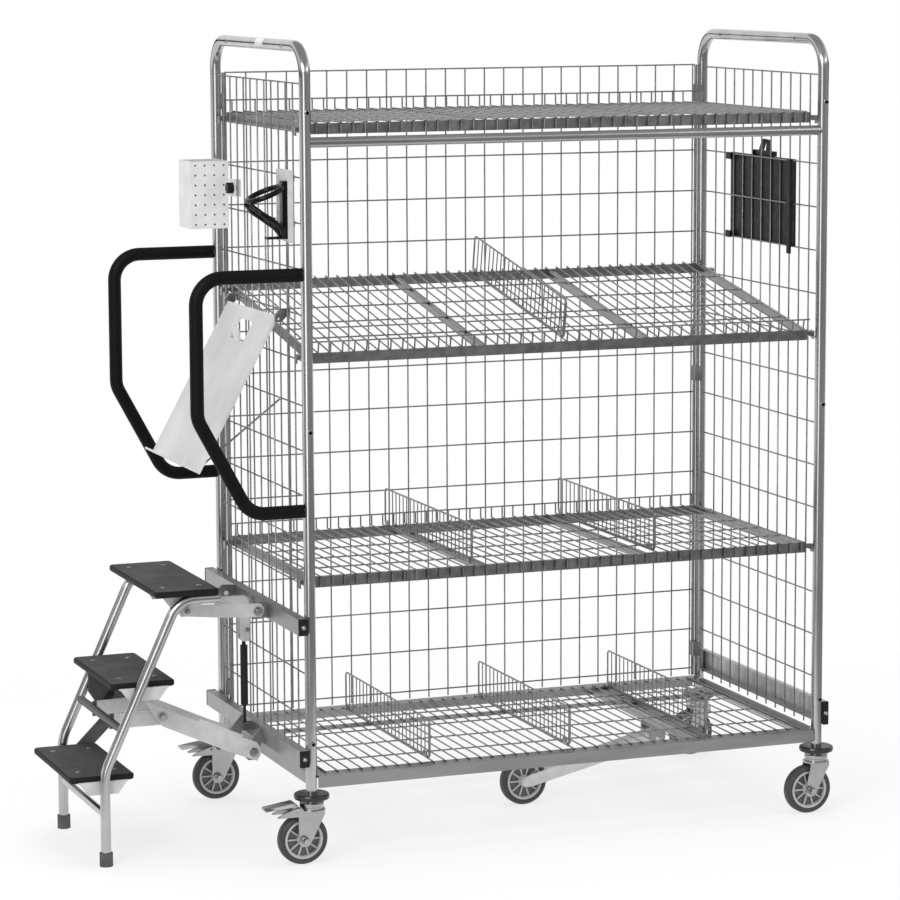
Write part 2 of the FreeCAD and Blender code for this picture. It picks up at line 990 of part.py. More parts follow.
def shelf_wires(label, front_row, rear_row, stop):
    # The wires turn down past one rail and up past the other; stop is 1 where the rear one turns up
    shapes = []
    z = dim.deck_wire / 2
    reach = half_depth + dim.lip_out
    bend = (reach - dim.deck_wire / 2) * stop
    top = dim.deck_wire + dim.wire_gap
    high = dim.lip_up + dim.deck_wire / 2 + dim.wire_gap
    for index in range(shelf_count):
        x = shelf_wire_x(index)
        shapes.append(wire(dim.deck_wire, (x, -reach, z), (x, reach, z)))
        shapes.append(wire(dim.deck_wire, (x, bend, top), (x, bend, dim.lip_up)))
        shapes.append(wire(dim.deck_wire, (x, -bend, -dim.wire_gap), (x, -bend, -dim.lip_down)))
    for share in cross_wire_shares:
        y = dim.shelf_depth * share - half_depth
        low = -dim.deck_wire / 2 - dim.wire_gap
        shapes.append(
            wire(dim.deck_wire, (dim.shelf_rail, y, low), (shelf_span - dim.shelf_rail, y, low))
        )
    shapes.append(wire(dim.deck_wire, (0, bend, high), (shelf_span, bend, high)))
    return seat(shaped(label, shapes), *shelf_place(front_row, rear_row))


shelves = {
    "top_shelf": (top_shelf_row, top_shelf_row, 1),
    "tilted_shelf": (tilted_front_row, tilted_rear_row, -1),
    "flat_shelf": (flat_shelf_row, flat_shelf_row, 1),
}
for label, (front_row, rear_row, stop) in shelves.items():
    pieces = [
        shelf_frame(f"{label}_frame", front_row, rear_row),
        shelf_wires(f"{label}_wires", front_row, rear_row, stop),
    ]
    keep(label, group(label, pieces))


# Dividers: a rounded wire loop filled with upright wires, on two sheet shoes
divider_long = dim.shelf_depth - dim.divider_inset * 2


def divider(label, x, foot, place, turn):
    half = divider_long / 2
    low = foot + dim.divider_wire / 2
    high = foot + dim.divider_tall - dim.divider_wire / 2
    loop = bent_path(
        [(x, -half, low), (x, half, low), (x, half, high), (x, -half, high)], [dim.divider_bend], True
    )
    shapes = [swept(loop, dim.divider_wire)]
    beside = x + dim.divider_wire / 2 + dim.divider_bar / 2 + dim.wire_gap
    room = divider_long - dim.divider_bend * 2
    count = int(float(room) // float(dim.divider_pitch)) + 1
    for index in range(count):
        y = dim.divider_pitch * (index - (count - 1) / 2)
        shapes.append(wire(dim.divider_bar, (beside, y, low), (beside, y, high)))
    clear = x - dim.divider_wire / 2 - dim.wire_gap - dim.shoe_sheet
    for side in (-1, 1):
        y = (half - dim.shoe_in) * side - dim.shoe_long / 2
        corner = Vector(float(clear), float(y), float(foot))
        sides = (float(dim.shoe_sheet), float(dim.shoe_long), float(dim.shoe_tall))
        shapes.append(Part.makeBox(*sides, corner))
    return seat(shaped(label, shapes), place, turn)


shelf_foot = dim.deck_wire + dim.wire_gap
shelf_dividers = []
for share in tilted_divider_shares:
    place, turn = shelf_place(tilted_front_row, tilted_rear_row)
    x = shelf_wire_x(round((shelf_count - 1) * share))
    shelf_dividers.append(divider("tilted_divider", x, shelf_foot, place, turn))
for share in flat_divider_shares:
    place, turn = shelf_place(flat_shelf_row, flat_shelf_row)
    x = shelf_wire_x(round((shelf_count - 1) * share))
    shelf_dividers.append(divider("flat_divider", x, shelf_foot, place, turn))
keep("shelf_dividers", group("shelf_dividers", shelf_dividers))
base_foot = dim.base_wire + dim.wire_gap
base_dividers = [
    divider("base_divider", deck_wire_x(index), base_foot, (0, 0, dim.base_top), Rotation())
    for index in [round((deck_count - 1) * share) for share in base_divider_shares]
]
keep("base_dividers", group("base_dividers", base_dividers))

# Push handles: a bent tube on each left post, in a foam grip
tubes = []
grips = []
for y in (dim.front_y, dim.rear_y):
    start = dim.left_x - dim.post_r
    corners = [
        (start, y, dim.handle_top),
        (dim.left_x - dim.handle_out, y, dim.handle_top),
        (dim.left_x - dim.handle_out, y, dim.handle_knee),
        (dim.left_x - dim.handle_heel, y, dim.handle_low),
        (start, y, dim.handle_low),
    ]
    path = bent_path(corners, [dim.handle_bend])
    tubes.append(swept(path, dim.handle_d))
    corners[0] = (start - dim.grip_end, y, dim.handle_top)
    corners[-1] = (start - dim.grip_end, y, dim.handle_low)
    path = bent_path(corners, [dim.handle_bend])
    wall = (dim.grip_d - dim.handle_d) / 2 - dim.fit_gap
    grips.append(hollow(path, dim.grip_d, wall))
keep("handle_tubes", shaped("handle_tubes", tubes))
keep("handle_grips", shaped("handle_grips", grips))


# Rectangular tubes across the posts, with plugs in their ends
def rail_tube(name, tall, deep, long, place):
    body = new_body(name, place)
    for inset in (0, dim.rail_wall):
        half_x = deep / 2 - inset
        half_z = tall / 2 - inset
        profile = outline(
            new_sketch(body, "XZ_Plane"),
            [(-half_x, -half_z), (half_x, -half_z), (half_x, half_z), (-half_x, half_z)],
        )
        if inset:
            pocket(body, profile)
        else:
            pad(body, profile, long)
    return body


rail_x = dim.left_x - dim.post_r
rail_face = rail_x - dim.rail_deep
pivot_x = dim.left_x - dim.pivot_out


def ear(name, y, z, tip_x, tip_z, hole):
    # A plate on the rail's face that reaches out to a pivot
    body = new_body(name, (rail_face, y, z))
    reach_x = tip_x - rail_face
    drop = tip_z - z
    nose = dim.ear_tall / 2
    profile = outline(
        new_sketch(body, "XZ_Plane"),
        [
            (0, dim.rail_tall / 2),
            (0, -dim.rail_tall / 2),
            (reach_x + nose / 2, drop - nose),
            (reach_x - nose / 2, drop - nose),
            (reach_x - nose, drop - nose / 2),
            (reach_x - nose, drop + nose / 2),
            (reach_x - nose / 2, drop + nose),
        ],
    )
    pad(body, profile, dim.ear_sheet)
    pocket(body, circle(new_sketch(body, "XZ_Plane"), (reach_x, drop), hole))
    return body


rail_middle = rail_x - dim.rail_deep / 2
rail_long = dim.width + dim.rail_past * 2
ear_hole = dim.pivot_d + dim.run_fit * 2
upper_ear = dim.upper_half - dim.arm_sheet / 2 - dim.side_gap - dim.ear_sheet / 2
lower_ear = dim.lower_half - dim.arm_sheet / 2 - dim.side_gap - dim.ear_sheet / 2
upper_items = [
    rail_tube("upper_rail", dim.rail_tall, dim.rail_deep, rail_long, (rail_middle, 0, dim.upper_rail_z))
]
lower_items = [
    rail_tube("lower_rail", dim.rail_tall, dim.rail_deep, rail_long, (rail_middle, 0, dim.lower_rail_z))
]
for side in (-1, 1):
    upper_items.append(
        ear("upper_ear", upper_ear * side, dim.upper_rail_z, pivot_x, dim.upper_pivot_z, ear_hole)
    )
    lower_items.append(
        ear("lower_ear", lower_ear * side, dim.lower_rail_z, pivot_x, dim.lower_pivot_z, ear_hole)
    )
eye_x = dim.left_x - dim.spring_eye_out
eye_half = dim.spring_eye_thick / 2
clevis_reach = eye_x - dim.spring_eye_d / 2
for side in (-1, 1):
    y = (eye_half + dim.side_gap) * side - (dim.clevis_sheet if side < 0 else 0)
    lower_items.append(
        block(
            "spring_clevis",
            (rail_face - clevis_reach, dim.clevis_sheet, dim.spring_eye_d),
            (clevis_reach, y, dim.spring_eye_z - dim.spring_eye_d / 2),
        )
    )
lower_items.append(
    rod(
        "spring_foot_pin",
        dim.spring_pin_d,
        dim.spring_eye_thick + dim.side_gap * 2,
        (eye_x, -eye_half - dim.side_gap, dim.spring_eye_z),
        "y",
    )
)
keep("upper_ladder_rail", group("upper_ladder_rail", upper_items))
keep("lower_ladder_rail", group("lower_ladder_rail", lower_items))
right_middle = dim.right_x + dim.post_r + dim.right_rail_deep / 2
right_long = dim.width + dim.right_rail_past * 2
right_place = (right_middle, 0, dim.right_rail_z)
keep(
    "right_end_rail",
    rail_tube("right_end_rail", dim.right_rail_tall, dim.right_rail_deep, right_long, right_place),
)
caps = []
for x, deep, tall, z, long in (
    (rail_middle, dim.rail_deep, dim.rail_tall, dim.upper_rail_z, rail_long),
    (rail_middle, dim.rail_deep, dim.rail_tall, dim.lower_rail_z, rail_long),
    (right_middle, dim.right_rail_deep, dim.right_rail_tall, dim.right_rail_z, right_long),
):
    inset = dim.rail_wall + dim.fit_gap
    plug = (deep - inset * 2, dim.plug_long, tall - inset * 2)
    for y in (-long / 2, long / 2 - dim.plug_long):
        caps.append(block(f"cap_{len(caps)}", plug, (x - plug[0] / 2, y, z - plug[2] / 2)))
keep("rail_end_caps", group("rail_end_caps", caps))

# Upper arms: two plates on one tie rod, with the lug that the gas spring pushes on
pivots = SimpleNamespace(
    upper=(pivot_x, dim.upper_pivot_z),
    lower=(pivot_x, dim.lower_pivot_z),
    ladder_top=(pivot_x - dim.upper_run, dim.upper_pivot_z + dim.upper_climb),
    ladder_low=(pivot_x - dim.lower_run, dim.lower_pivot_z + dim.lower_climb),
    lug=(pivot_x + dim.lug_out, dim.upper_pivot_z - dim.lug_drop),
)


def bolt(name, place, half, side):
    # A headed pivot pin across one plate, its head on the outside
    x, z = place
    inner = half - dim.arm_sheet / 2 - dim.side_gap - dim.ear_sheet
    reach = dim.arm_sheet + dim.side_gap + dim.ear_sheet
    outer = half + dim.arm_sheet / 2
    shank = rod(f"{name}_shank", dim.pivot_d, reach, (x, inner if side > 0 else -outer, z), "y")
    start = outer if side > 0 else -outer - dim.pivot_head
    head = rod(f"{name}_head", dim.pivot_head_d, dim.pivot_head, (x, start, z), "y")
    return [shank, head]


arm_items = []
for side in (-1, 1):
    plate = new_body("upper_arm_plate", (pivots.upper[0], dim.upper_half * side, pivots.upper[1]))
    half_tall = dim.upper_arm_tall / 2
    half_tip = dim.upper_tip_tall / 2
    run = dim.upper_run
    climb = dim.upper_climb
    profile = outline(
        new_sketch(plate, "XZ_Plane"),
        [
            (half_tall * nose_share, -half_tall),
            (half_tall, -half_tall * corner_share),
            (half_tall, half_tall * corner_share),
            (half_tall * nose_share, half_tall),
            (-run / 2, half_tall + climb / 2),
            (-run, half_tip + climb),
            (-run - half_tip * blunt_share, half_tip * nose_share + climb),
            (-run - half_tip, climb),
            (-run - half_tip / 2, climb - half_tip),
            (-run / 2, climb / 2 - half_tall),
        ],
    )
    pad(plate, profile, dim.arm_sheet)
    arm_items.append(plate)
    arm_items += bolt("upper_pivot", pivots.upper, dim.upper_half, side)
    arm_items += bolt("ladder_top_pivot", pivots.ladder_top, dim.upper_half, side)
tie_x = pivots.upper[0] - dim.upper_run * arm_tie_share
tie_z = pivots.upper[1] + dim.upper_climb * arm_tie_share
arm_gap = dim.upper_half * 2 - dim.arm_sheet
arm_items.append(rod("arm_tie", dim.tie_d, arm_gap, (tie_x, -arm_gap / 2, tie_z), "y"))
lug_items = []
lug_half = dim.lug_wide / 2
lug_span = eye_half + dim.side_gap
for side in (-1, 1):
    lug = new_body("spring_lug", (pivots.lug[0], (lug_span + dim.lug_sheet / 2) * side, pivots.lug[1]))
    top_x = tie_x - pivots.lug[0]
    top_z = tie_z - pivots.lug[1]
    profile = outline(
        new_sketch(lug, "XZ_Plane"),
        [
            (-lug_half / 2, -lug_half),
            (lug_half / 2, -lug_half),
            (lug_half, -lug_half / 2),
            (lug_half, top_z - lug_half),
            (lug_half / 2, top_z + lug_half * blunt_share),
            (top_x - lug_half, top_z + lug_half * blunt_share),
            (top_x - lug_half, top_z - lug_half),
            (-lug_half, top_z - lug_half),
            (-lug_half, -lug_half / 2),
        ],
    )
    pad(lug, profile, dim.lug_sheet)
    lug_items.append(lug)
arm_items += lug_items
pin_half = lug_span + dim.lug_sheet / 2
arm_items.append(
    rod("spring_top_pin", dim.spring_pin_d, pin_half * 2, (pivots.lug[0], -pin_half, pivots.lug[1]), "y")
)
keep("upper_arms", fuse("upper_arms", arm_items))

# Lower arm: two plates joined by a web under them
lower_items = []
for side in (-1, 1):
    plate = new_body("lower_arm_plate", (pivots.lower[0], dim.lower_half * side, pivots.lower[1]))
    half_tall = dim.lower_arm_tall / 2
    run = dim.lower_run
    climb = dim.lower_climb
    past = dim.lower_arm_past
    profile = outline(
        new_sketch(plate, "XZ_Plane"),
        [
            (half_tall * corner_share, -half_tall),
            (half_tall * blunt_share, -half_tall * corner_share),
            (half_tall * blunt_share, half_tall * corner_share),
            (half_tall * corner_share, half_tall),
            (-run * arm_waist_share, climb * arm_waist_share + half_tall),
            (-run - past, climb + past * arm_slope_share + half_tall),
            (-run - past / 2, climb + past * arm_slope_share / 2 - half_tall * arm_dip_share),
            (-run, climb - half_tall),
            (-run * arm_waist_share, climb * arm_waist_share - half_tall),
        ],
    )
    pad(plate, profile, dim.arm_sheet)
    lower_items.append(plate)
    lower_items += bolt("lower_pivot", pivots.lower, dim.lower_half, side)
    lower_items += bolt("ladder_low_pivot", pivots.ladder_low, dim.lower_half, side)
web_gap = dim.lower_half * 2 - dim.arm_sheet
for share in lower_tie_shares:
    x = pivots.lower[0] - dim.lower_run * share
    z = pivots.lower[1] + dim.lower_climb * share - dim.lower_arm_tall * arm_dip_share
    lower_items.append(rod("lower_tie", dim.tie_d, web_gap, (x, -web_gap / 2, z), "y"))
rod_ends = []
for share in lock_rod_shares:
    x = pivots.lower[0] - dim.lower_run * share
    z = pivots.lower[1] + dim.lower_climb * share + dim.lower_arm_tall / 2 + dim.lock_rod_up
    rod_ends.append((x, -dim.lower_half, z))
lower_items.append(shaped("lock_rod", [wire(dim.lock_rod_d, *rod_ends)]))
keep("lower_arm", fuse("lower_arm", lower_items))

# Gas spring: cylinder on the lug, rod on the rail's clevis
spring_axis = Vector(
    float(pivots.lug[0] - eye_x), 0, float(pivots.lug[1] - dim.spring_eye_z)
).normalize()
spring_turn = Rotation(Vector(0, 0, 1), spring_axis)
top_eye = Vector(float(pivots.lug[0]), 0, float(pivots.lug[1]))
low_eye = Vector(float(eye_x), 0, float(dim.spring_eye_z))


def eye_ring(centre, hole):
    across = Vector(0, -float(eye_half), 0)
    ring = Part.makeCylinder(
        float(dim.spring_eye_d) / 2, float(dim.spring_eye_thick), centre + across, Vector(0, 1, 0)
    )
    bore = Part.makeCylinder(
        float(hole) / 2, float(dim.spring_eye_thick), centre + across, Vector(0, 1, 0)
    )
    return ring, bore


rod_bore = dim.spring_rod_d + dim.run_fit * 2
ring, bore = eye_ring(top_eye, dim.spring_open_d)
neck_end = top_eye - spring_axis * float(dim.spring_neck + dim.spring_eye_d / 2)
neck = Part.makeCylinder(
    float(dim.spring_neck_d) / 2, float(dim.spring_neck + dim.spring_eye_d / 2), neck_end, spring_axis
)
barrel_end = neck_end - spring_axis * float(dim.spring_length)
barrel = Part.makeCylinder(
    float(dim.spring_d) / 2, float(dim.spring_length), barrel_end, spring_axis
)
hole = Part.makeCylinder(float(rod_bore) / 2, float(dim.spring_length) * bore_share, barrel_end, spring_axis)
cylinder = barrel.fuse([neck, ring]).cut([bore, hole]).removeSplitter()
keep("gas_spring_cylinder", shaped("gas_spring_cylinder", [cylinder]))
ring, bore = eye_ring(low_eye, dim.spring_pin_d + dim.run_fit * 2)
inside = (barrel_end - low_eye).Length + float(dim.spring_length) * piston_share
piston = Part.makeCylinder(float(dim.spring_rod_d) / 2, inside, low_eye, spring_axis)
keep("gas_spring_rod", shaped("gas_spring_rod", [ring.fuse(piston).cut(bore).removeSplitter()]))

# Ladder: bent stringer tubes, a cross tube, rubber feet
foot_x = dim.left_x - dim.foot_out
ladder_tubes = []
feet = []
for side in (-1, 1):
    y = dim.stringer_half * side
    path = bent_path(
        [
            (dim.left_x - dim.stringer_out, y, dim.stringer_top),
            (dim.left_x - dim.shoulder_out, y, dim.stringer_top),
            (foot_x, y, dim.knee_z),
            (foot_x, y, dim.foot_tall),
        ],
        [dim.shoulder_bend, dim.shoulder_bend, dim.knee_bend],
    )
    ladder_tubes.append(hollow(path, dim.stringer_d, dim.stringer_wall))
    feet.append(rod(f"foot_{len(feet)}", dim.foot_d, dim.foot_tall, (foot_x, y, 0)))
between = dim.stringer_half * 2 - dim.stringer_d
ladder_tubes.append(
    wire(dim.cross_d, (foot_x, -between / 2, dim.cross_z), (foot_x, between / 2, dim.cross_z))
)
keep("ladder_stringers", shaped("ladder_stringers", ladder_tubes))
keep("ladder_feet", group("ladder_feet", feet))

# Treads and the folded trays under them
tread_top_z = dim.stringer_top + dim.stringer_d / 2
tread_items = []
tray_items = []
tray_long = between - dim.spine_sheet - dim.fit_gap * 2
for index in range(treads):
    x = foot_x + dim.tread_going * index
    low = tread_top_z - dim.tread_rise * (treads - 1 - index)
    is_top = index == treads - 1
    reach = between - dim.tread_side_gap * 2
    if is_top:
        reach = dim.stringer_half * 2 + dim.stringer_d
    board = new_body(f"tread_{index + 1}", (x, 0, low + dim.tread_thick / 2))
    half_x = dim.tread_depth / 2
    half_y = reach / 2
    profile = outline(
        new_sketch(board, "XY_Plane"),
        [(-half_x, -half_y), (half_x, -half_y), (half_x, half_y), (-half_x, half_y)],
    )
    plank = pad(board, profile, dim.tread_thick)
    rounded = fillet(board, plank, straight_edges(plank, Vector(0, 0, 1)), dim.tread_round)
    fillet(board, rounded, top_edges(rounded), dim.tread_edge)
    tread_items.append(board)
    tray_y = -(between - tray_long) / 2
    half_tray = dim.tray_depth / 2
    sheet_t = dim.tray_sheet
    plate_corner = (x - half_tray, tray_y - tray_long / 2, low - sheet_t)
    tray = [block(f"tray_plate_{index + 1}", (dim.tray_depth, tray_long, sheet_t), plate_corner)]
    for side in (-1, 1):
        end_y = tray_y + (tray_long - sheet_t) / 2 * side
        flange = new_body(f"tray_flange_{index + 1}", (x, end_y, low))
        profile = outline(
            new_sketch(flange, "XZ_Plane"),
            [
                (-half_tray, 0),
                (-half_tray * nose_share, -dim.tray_flange),
                (half_tray * nose_share, -dim.tray_flange),
                (half_tray, 0),
            ],
        )
        pad(flange, profile, sheet_t)
        tray.append(flange)
    tray_items.append(fuse(f"tray_{index + 1}", tray))
keep("ladder_treads", group("ladder_treads", tread_items))
keep("tread_trays", group("tread_trays", tray_items))

# Pivot brackets of the ladder: lugs under the top tray, and plates on a bar between the stringers
lugs = []
lug_top = tread_top_z - dim.tray_sheet
for side in (-1, 1):
    lug = new_body("ladder_lug", (pivots.ladder_top[0], upper_ear * side, pivots.ladder_top[1]))
    top = lug_top - pivots.ladder_top[1]
    half = dim.bracket_tall / 2
    profile = outline(
        new_sketch(lug, "XZ_Plane"),
        [
            (-half, top),
            (-half, 0),
            (-half * nose_share, -half * slant_share),
            (half * nose_share, -half * slant_share),
            (half, 0),
            (half, top),
        ],
    )
    pad(lug, profile, dim.ear_sheet)
    pocket(lug, circle(new_sketch(lug, "XZ_Plane"), (0, 0), dim.open_pivot_d))
    lugs.append(lug)
slope = (dim.foot_out - dim.shoulder_out) / (dim.stringer_top - dim.knee_z)
bar_x = foot_x + slope * (pivots.ladder_low[1] - dim.knee_z)
plates = [
    rod("ladder_low_bar", dim.cross_d, between, (bar_x, -between / 2, pivots.ladder_low[1]), "y")
]
for side in (-1, 1):
    plate = new_body("ladder_plate", (pivots.ladder_low[0], lower_ear * side, pivots.ladder_low[1]))
    root = bar_x - pivots.ladder_low[0]
    half = dim.bracket_tall / 2
    profile = outline(
        new_sketch(plate, "XZ_Plane"),
        [
            (root, -half),
            (half / 2, -half),
            (half, -half / 2),
            (half, half / 2),
            (half / 2, half),
            (root, half * blunt_share),
        ],
    )
    pad(plate, profile, dim.ear_sheet)
    pocket(plate, circle(new_sketch(plate, "XZ_Plane"), (0, 0), ear_hole))
    plates.append(plate)
keep("ladder_brackets", group("ladder_brackets", lugs + [fuse("ladder_low_bracket", plates)]))

# Spine plate beside the rear stringer, from the middle tray to the bottom one, with the release
low_z = tread_top_z - dim.tread_rise * (treads - 1)
spine_y = between / 2 - dim.fit_gap - dim.spine_sheet / 2
spine = new_body("ladder_spine", (foot_x, spine_y, low_z))
profile = outline(
    new_sketch(spine, "XZ_Plane"),
    [(dim.tread_going * along_x, dim.tread_rise * up) for along_x, up in spine_shares],
)
pad(spine, profile, dim.spine_sheet)
release_spot = (dim.tread_going * release_place_shares[0], dim.tread_rise * release_place_shares[1])
release_x = foot_x + release_spot[0]
release_z = low_z + release_spot[1]
release_hole = dim.pedal_pin_d + dim.run_fit * 2
pocket(spine, circle(new_sketch(spine, "XZ_Plane"), release_spot, release_hole))
keep("ladder_spine", spine)
face = spine_y - dim.spine_sheet / 2 - dim.side_gap
lever = new_body("release_plate", (release_x, face - dim.clevis_sheet / 2, release_z))
half = dim.release_d / 2
profile = outline(
    new_sketch(lever, "XZ_Plane"),
    [
        (half, -half),
        (half, half),
        (-half, half),
        (-dim.release_arm * slant_share - half, -dim.release_arm * slant_share),
        (-dim.release_arm * slant_share, -dim.release_arm * slant_share - half),
        (-dim.release_arm * slant_share + half, -dim.release_arm * slant_share),
    ],
)
pad(lever, profile, dim.clevis_sheet)
lever_pin = rod(
    "release_pin",
    dim.pedal_pin_d,
    dim.spine_sheet + dim.side_gap + dim.clevis_sheet,
    (release_x, face - dim.clevis_sheet, release_z),
    "y",
)
lever_grip = rod(
    "release_grip",
    dim.release_d,
    dim.release_long,
    (
        release_x - dim.release_arm * slant_share,
        face - dim.release_long,
        release_z - dim.release_arm * slant_share,
    ),
    "y",
)
keep("ladder_release", fuse("ladder_release", [lever, lever_pin, lever_grip]))

# Wheels: a ribbed rim and its tyre, both turned about the axle
hub_z = dim.wheel_d / 2
rim_d = dim.wheel_d - dim.tyre_deep * 2


def wheel(label, place):
    rim = new_body(f"{label}_rim", place)
    bore_r = dim.axle_d / 2 + dim.run_fit
    outer = rim_d / 2 - dim.fit_gap
    inner = outer - dim.rim_deep
    hub_r = dim.hub_d / 2
    half_hub = dim.hub_wide / 2
    half_web = dim.web_thick / 2
    half_rim = dim.rim_wide / 2
    profile = outline(
        new_sketch(rim, "XY_Plane"),
        [
            (bore_r, -half_hub),
            (hub_r * blunt_share, -half_hub),
            (hub_r, -half_web),
            (inner, -half_web),
            (inner + dim.rim_deep * bevel_share, -half_rim),
            (outer, -half_rim),
            (outer, half_rim),
            (inner + dim.rim_deep * bevel_share, half_rim),
            (inner, half_web),
            (hub_r, half_web),
            (hub_r * blunt_share, half_hub),
            (bore_r, half_hub),
        ],
    )
    revolve(rim, profile)
    rib_sketch = outline(
        new_sketch(rim, "XY_Plane"),
        [
            (hub_r * blunt_share, -dim.rib_wide / 2),
            (inner + dim.rim_deep * corner_share, -dim.rib_wide / 2),
            (inner + dim.rim_deep * corner_share, dim.rib_wide / 2),
            (hub_r * blunt_share, dim.rib_wide / 2),
        ],
    )
    rib = pad(rim, rib_sketch, dim.rib_thick)
    ribs = rim.newObject("PartDesign::PolarPattern", f"{label}_ribs")
    ribs.Originals = [rib]
    ribs.Axis = (plane_of(rim, "Y_Axis"), [""])
    ribs.Angle = 360
    ribs.Occurrences = wheel_ribs
    rim.Tip = ribs
    keep(f"{label}_rim", rim)
    tyre = new_body(f"{label}_tyre", place)
    half_wide = dim.wheel_wide / 2
    tread = dim.wheel_d / 2
    profile = outline(
        new_sketch(tyre, "XY_Plane"),
        [
            (rim_d / 2, -half_rim),
            (rim_d / 2 + dim.tyre_round / 2, -half_wide),
            (tread - dim.tyre_round, -half_wide),
            (tread - dim.tyre_round * bevel_share, dim.tyre_round / 2 - half_wide),
            (tread, dim.tyre_round * tyre_crown_share - half_wide),
            (tread, half_wide - dim.tyre_round * tyre_crown_share),
            (tread - dim.tyre_round * bevel_share, half_wide - dim.tyre_round / 2),
            (tread - dim.tyre_round, half_wide),
            (rim_d / 2 + dim.tyre_round / 2, half_wide),
            (rim_d / 2, half_rim),
        ],
    )
    revolve(tyre, profile)
    keep(f"{label}_tyre", tyre)


def axle(name, x, y, plate):
    # Through both side plates, with a nut on each end
    half = dim.hub_wide / 2 + dim.side_gap + plate
    shaft = rod(f"{name}_axle", dim.axle_d, half * 2, (x, y - half, hub_z), "y")
    nuts = [
        rod(f"{name}_nut", dim.axle_nut_d, dim.axle_nut, (x, y + start, hub_z), "y")
        for start in (half, -half - dim.axle_nut)
    ]
    return [shaft] + nuts


# Castors: stem in the post, bumper ring round it, swivelling fork under it
stems = []
bumpers = []
crown_low = dim.wheel_d + dim.crown_gap
crown_top = crown_low + dim.crown_thick
stem_low = dim.post_foot - dim.stem_plate
king_bore = dim.king_d + dim.run_fit * 2
leg_y = dim.hub_wide / 2 + dim.side_gap + dim.leg_sheet / 2


def castor(label, x, y, braked):
    plate = rod(f"{label}_plate", dim.stem_plate_d, dim.stem_plate, (x, y, stem_low))
    inside = dim.tube_d - dim.tube_wall * 2 - dim.fit_gap * 2
    plug = rod(f"{label}_plug", inside, dim.stem_long, (x, y, dim.post_foot))
    bore = rod(f"{label}_bore", king_bore, dim.king_long, (x, y, stem_low))
    stems.append(cut(f"{label}_stem", fuse(f"{label}_head", [plate, plug]), bore))
    bumper = new_body(f"{label}_bumper", (x, y, dim.bumper_z))
    inner = dim.post_r + dim.fit_gap
    outer = dim.bumper_d / 2
    curve = dim.bumper_round
    profile = outline(
        new_sketch(bumper, "XZ_Plane"),
        [
            (inner, 0),
            (outer - curve, 0),
            (outer - curve * bevel_share, curve * bevel_share),
            (outer, curve),
            (outer, dim.bumper_tall - curve),
            (outer - curve * bevel_share, dim.bumper_tall - curve * bevel_share),
            (outer - curve, dim.bumper_tall),
            (inner, dim.bumper_tall),
        ],
    )
    revolve(bumper, profile)
    bumpers.append(bumper)
    hub_x = x - dim.trail
    race_tall = stem_low - dim.swivel_gap - crown_top
    king_tall = dim.king_long - dim.swivel_gap * 2
    items = [
        rod(f"{label}_crown", dim.crown_d, dim.crown_thick, (x, y, crown_low)),
        rod(f"{label}_race", dim.race_d, race_tall, (x, y, crown_top)),
        rod(f"{label}_king", dim.king_d, king_tall, (x, y, stem_low - dim.swivel_gap)),
    ]
    foot = dim.leg_foot / 2
    shoulder = dim.crown_d * corner_share
    for side in (-1, 1):
        leg = new_body(f"{label}_leg", (x, y + leg_y * side, 0))
        back = [(-shoulder, crown_low - dim.crown_gap)]
        if braked:
            over = dim.pedal_pivot_up + dim.pedal_ear
            back = [
                (-dim.fender_out * along_x, crown_low + over * up) for along_x, up in reversed(fender_shares)
            ]
            back.insert(0, (-dim.trail - foot, crown_low - over / 2))
        corners = [
            (-shoulder, crown_top),
            (shoulder, crown_top),
            (shoulder, crown_low - dim.crown_gap),
            (foot - dim.trail, hub_z - foot * corner_share),
            (foot / 2 - dim.trail, hub_z - foot),
            (-foot / 2 - dim.trail, hub_z - foot),
            (-foot - dim.trail, hub_z - foot * corner_share),
        ] + back
        pad(leg, outline(new_sketch(leg, "XZ_Plane"), corners), dim.leg_sheet)
        if braked:
            spot = (-dim.pedal_pivot_out, crown_low + dim.pedal_pivot_up)
            pocket(leg, circle(new_sketch(leg, "XZ_Plane"), spot, release_hole))
        items.append(leg)
    items += axle(label, hub_x, y, dim.leg_sheet)
    keep(f"{label}_fork", fuse(f"{label}_fork", items))
    wheel(label, (hub_x, y, hub_z))
    if braked:
        pivot = (x - dim.pedal_pivot_out, y, crown_low + dim.pedal_pivot_up)
        lever = new_body(f"{label}_lever", pivot)
        barrel = dim.pedal_barrel_d / 2
        long = dim.pedal_long
        climb = dim.pedal_climb
        profile = outline(
            new_sketch(lever, "XZ_Plane"),
            [
                (barrel, -barrel * nose_share),
                (barrel, barrel * nose_share),
                (-barrel, dim.pedal_root),
                (-long, climb + dim.pedal_sheet),
                (-long, climb),
                (-barrel * pedal_heel_share, dim.pedal_root - dim.pedal_sheet * 2),
                (-barrel * pedal_heel_share, -barrel),
                (barrel / 2, -barrel),
            ],
        )
        pad(lever, profile, dim.pedal_wide)
        half = dim.hub_wide / 2 + dim.side_gap + dim.leg_sheet
        pin = rod(f"{label}_pin", dim.pedal_pin_d, half * 2, (pivot[0], y - half, pivot[2]), "y")
        keep(f"{label}_brake_pedal", fuse(f"{label}_brake_pedal", [lever, pin]))


for label, x, y, braked in (
    ("front_left", dim.left_x, dim.front_y, True),
    ("rear_left", dim.left_x, dim.rear_y, True),
    ("front_right", dim.right_x, dim.front_y, False),
    ("rear_right", dim.right_x, dim.rear_y, False),
):
    castor(label, x, y, braked)
keep("castor_stems", group("castor_stems", stems))
keep("castor_bumpers", group("castor_bumpers", bumpers))

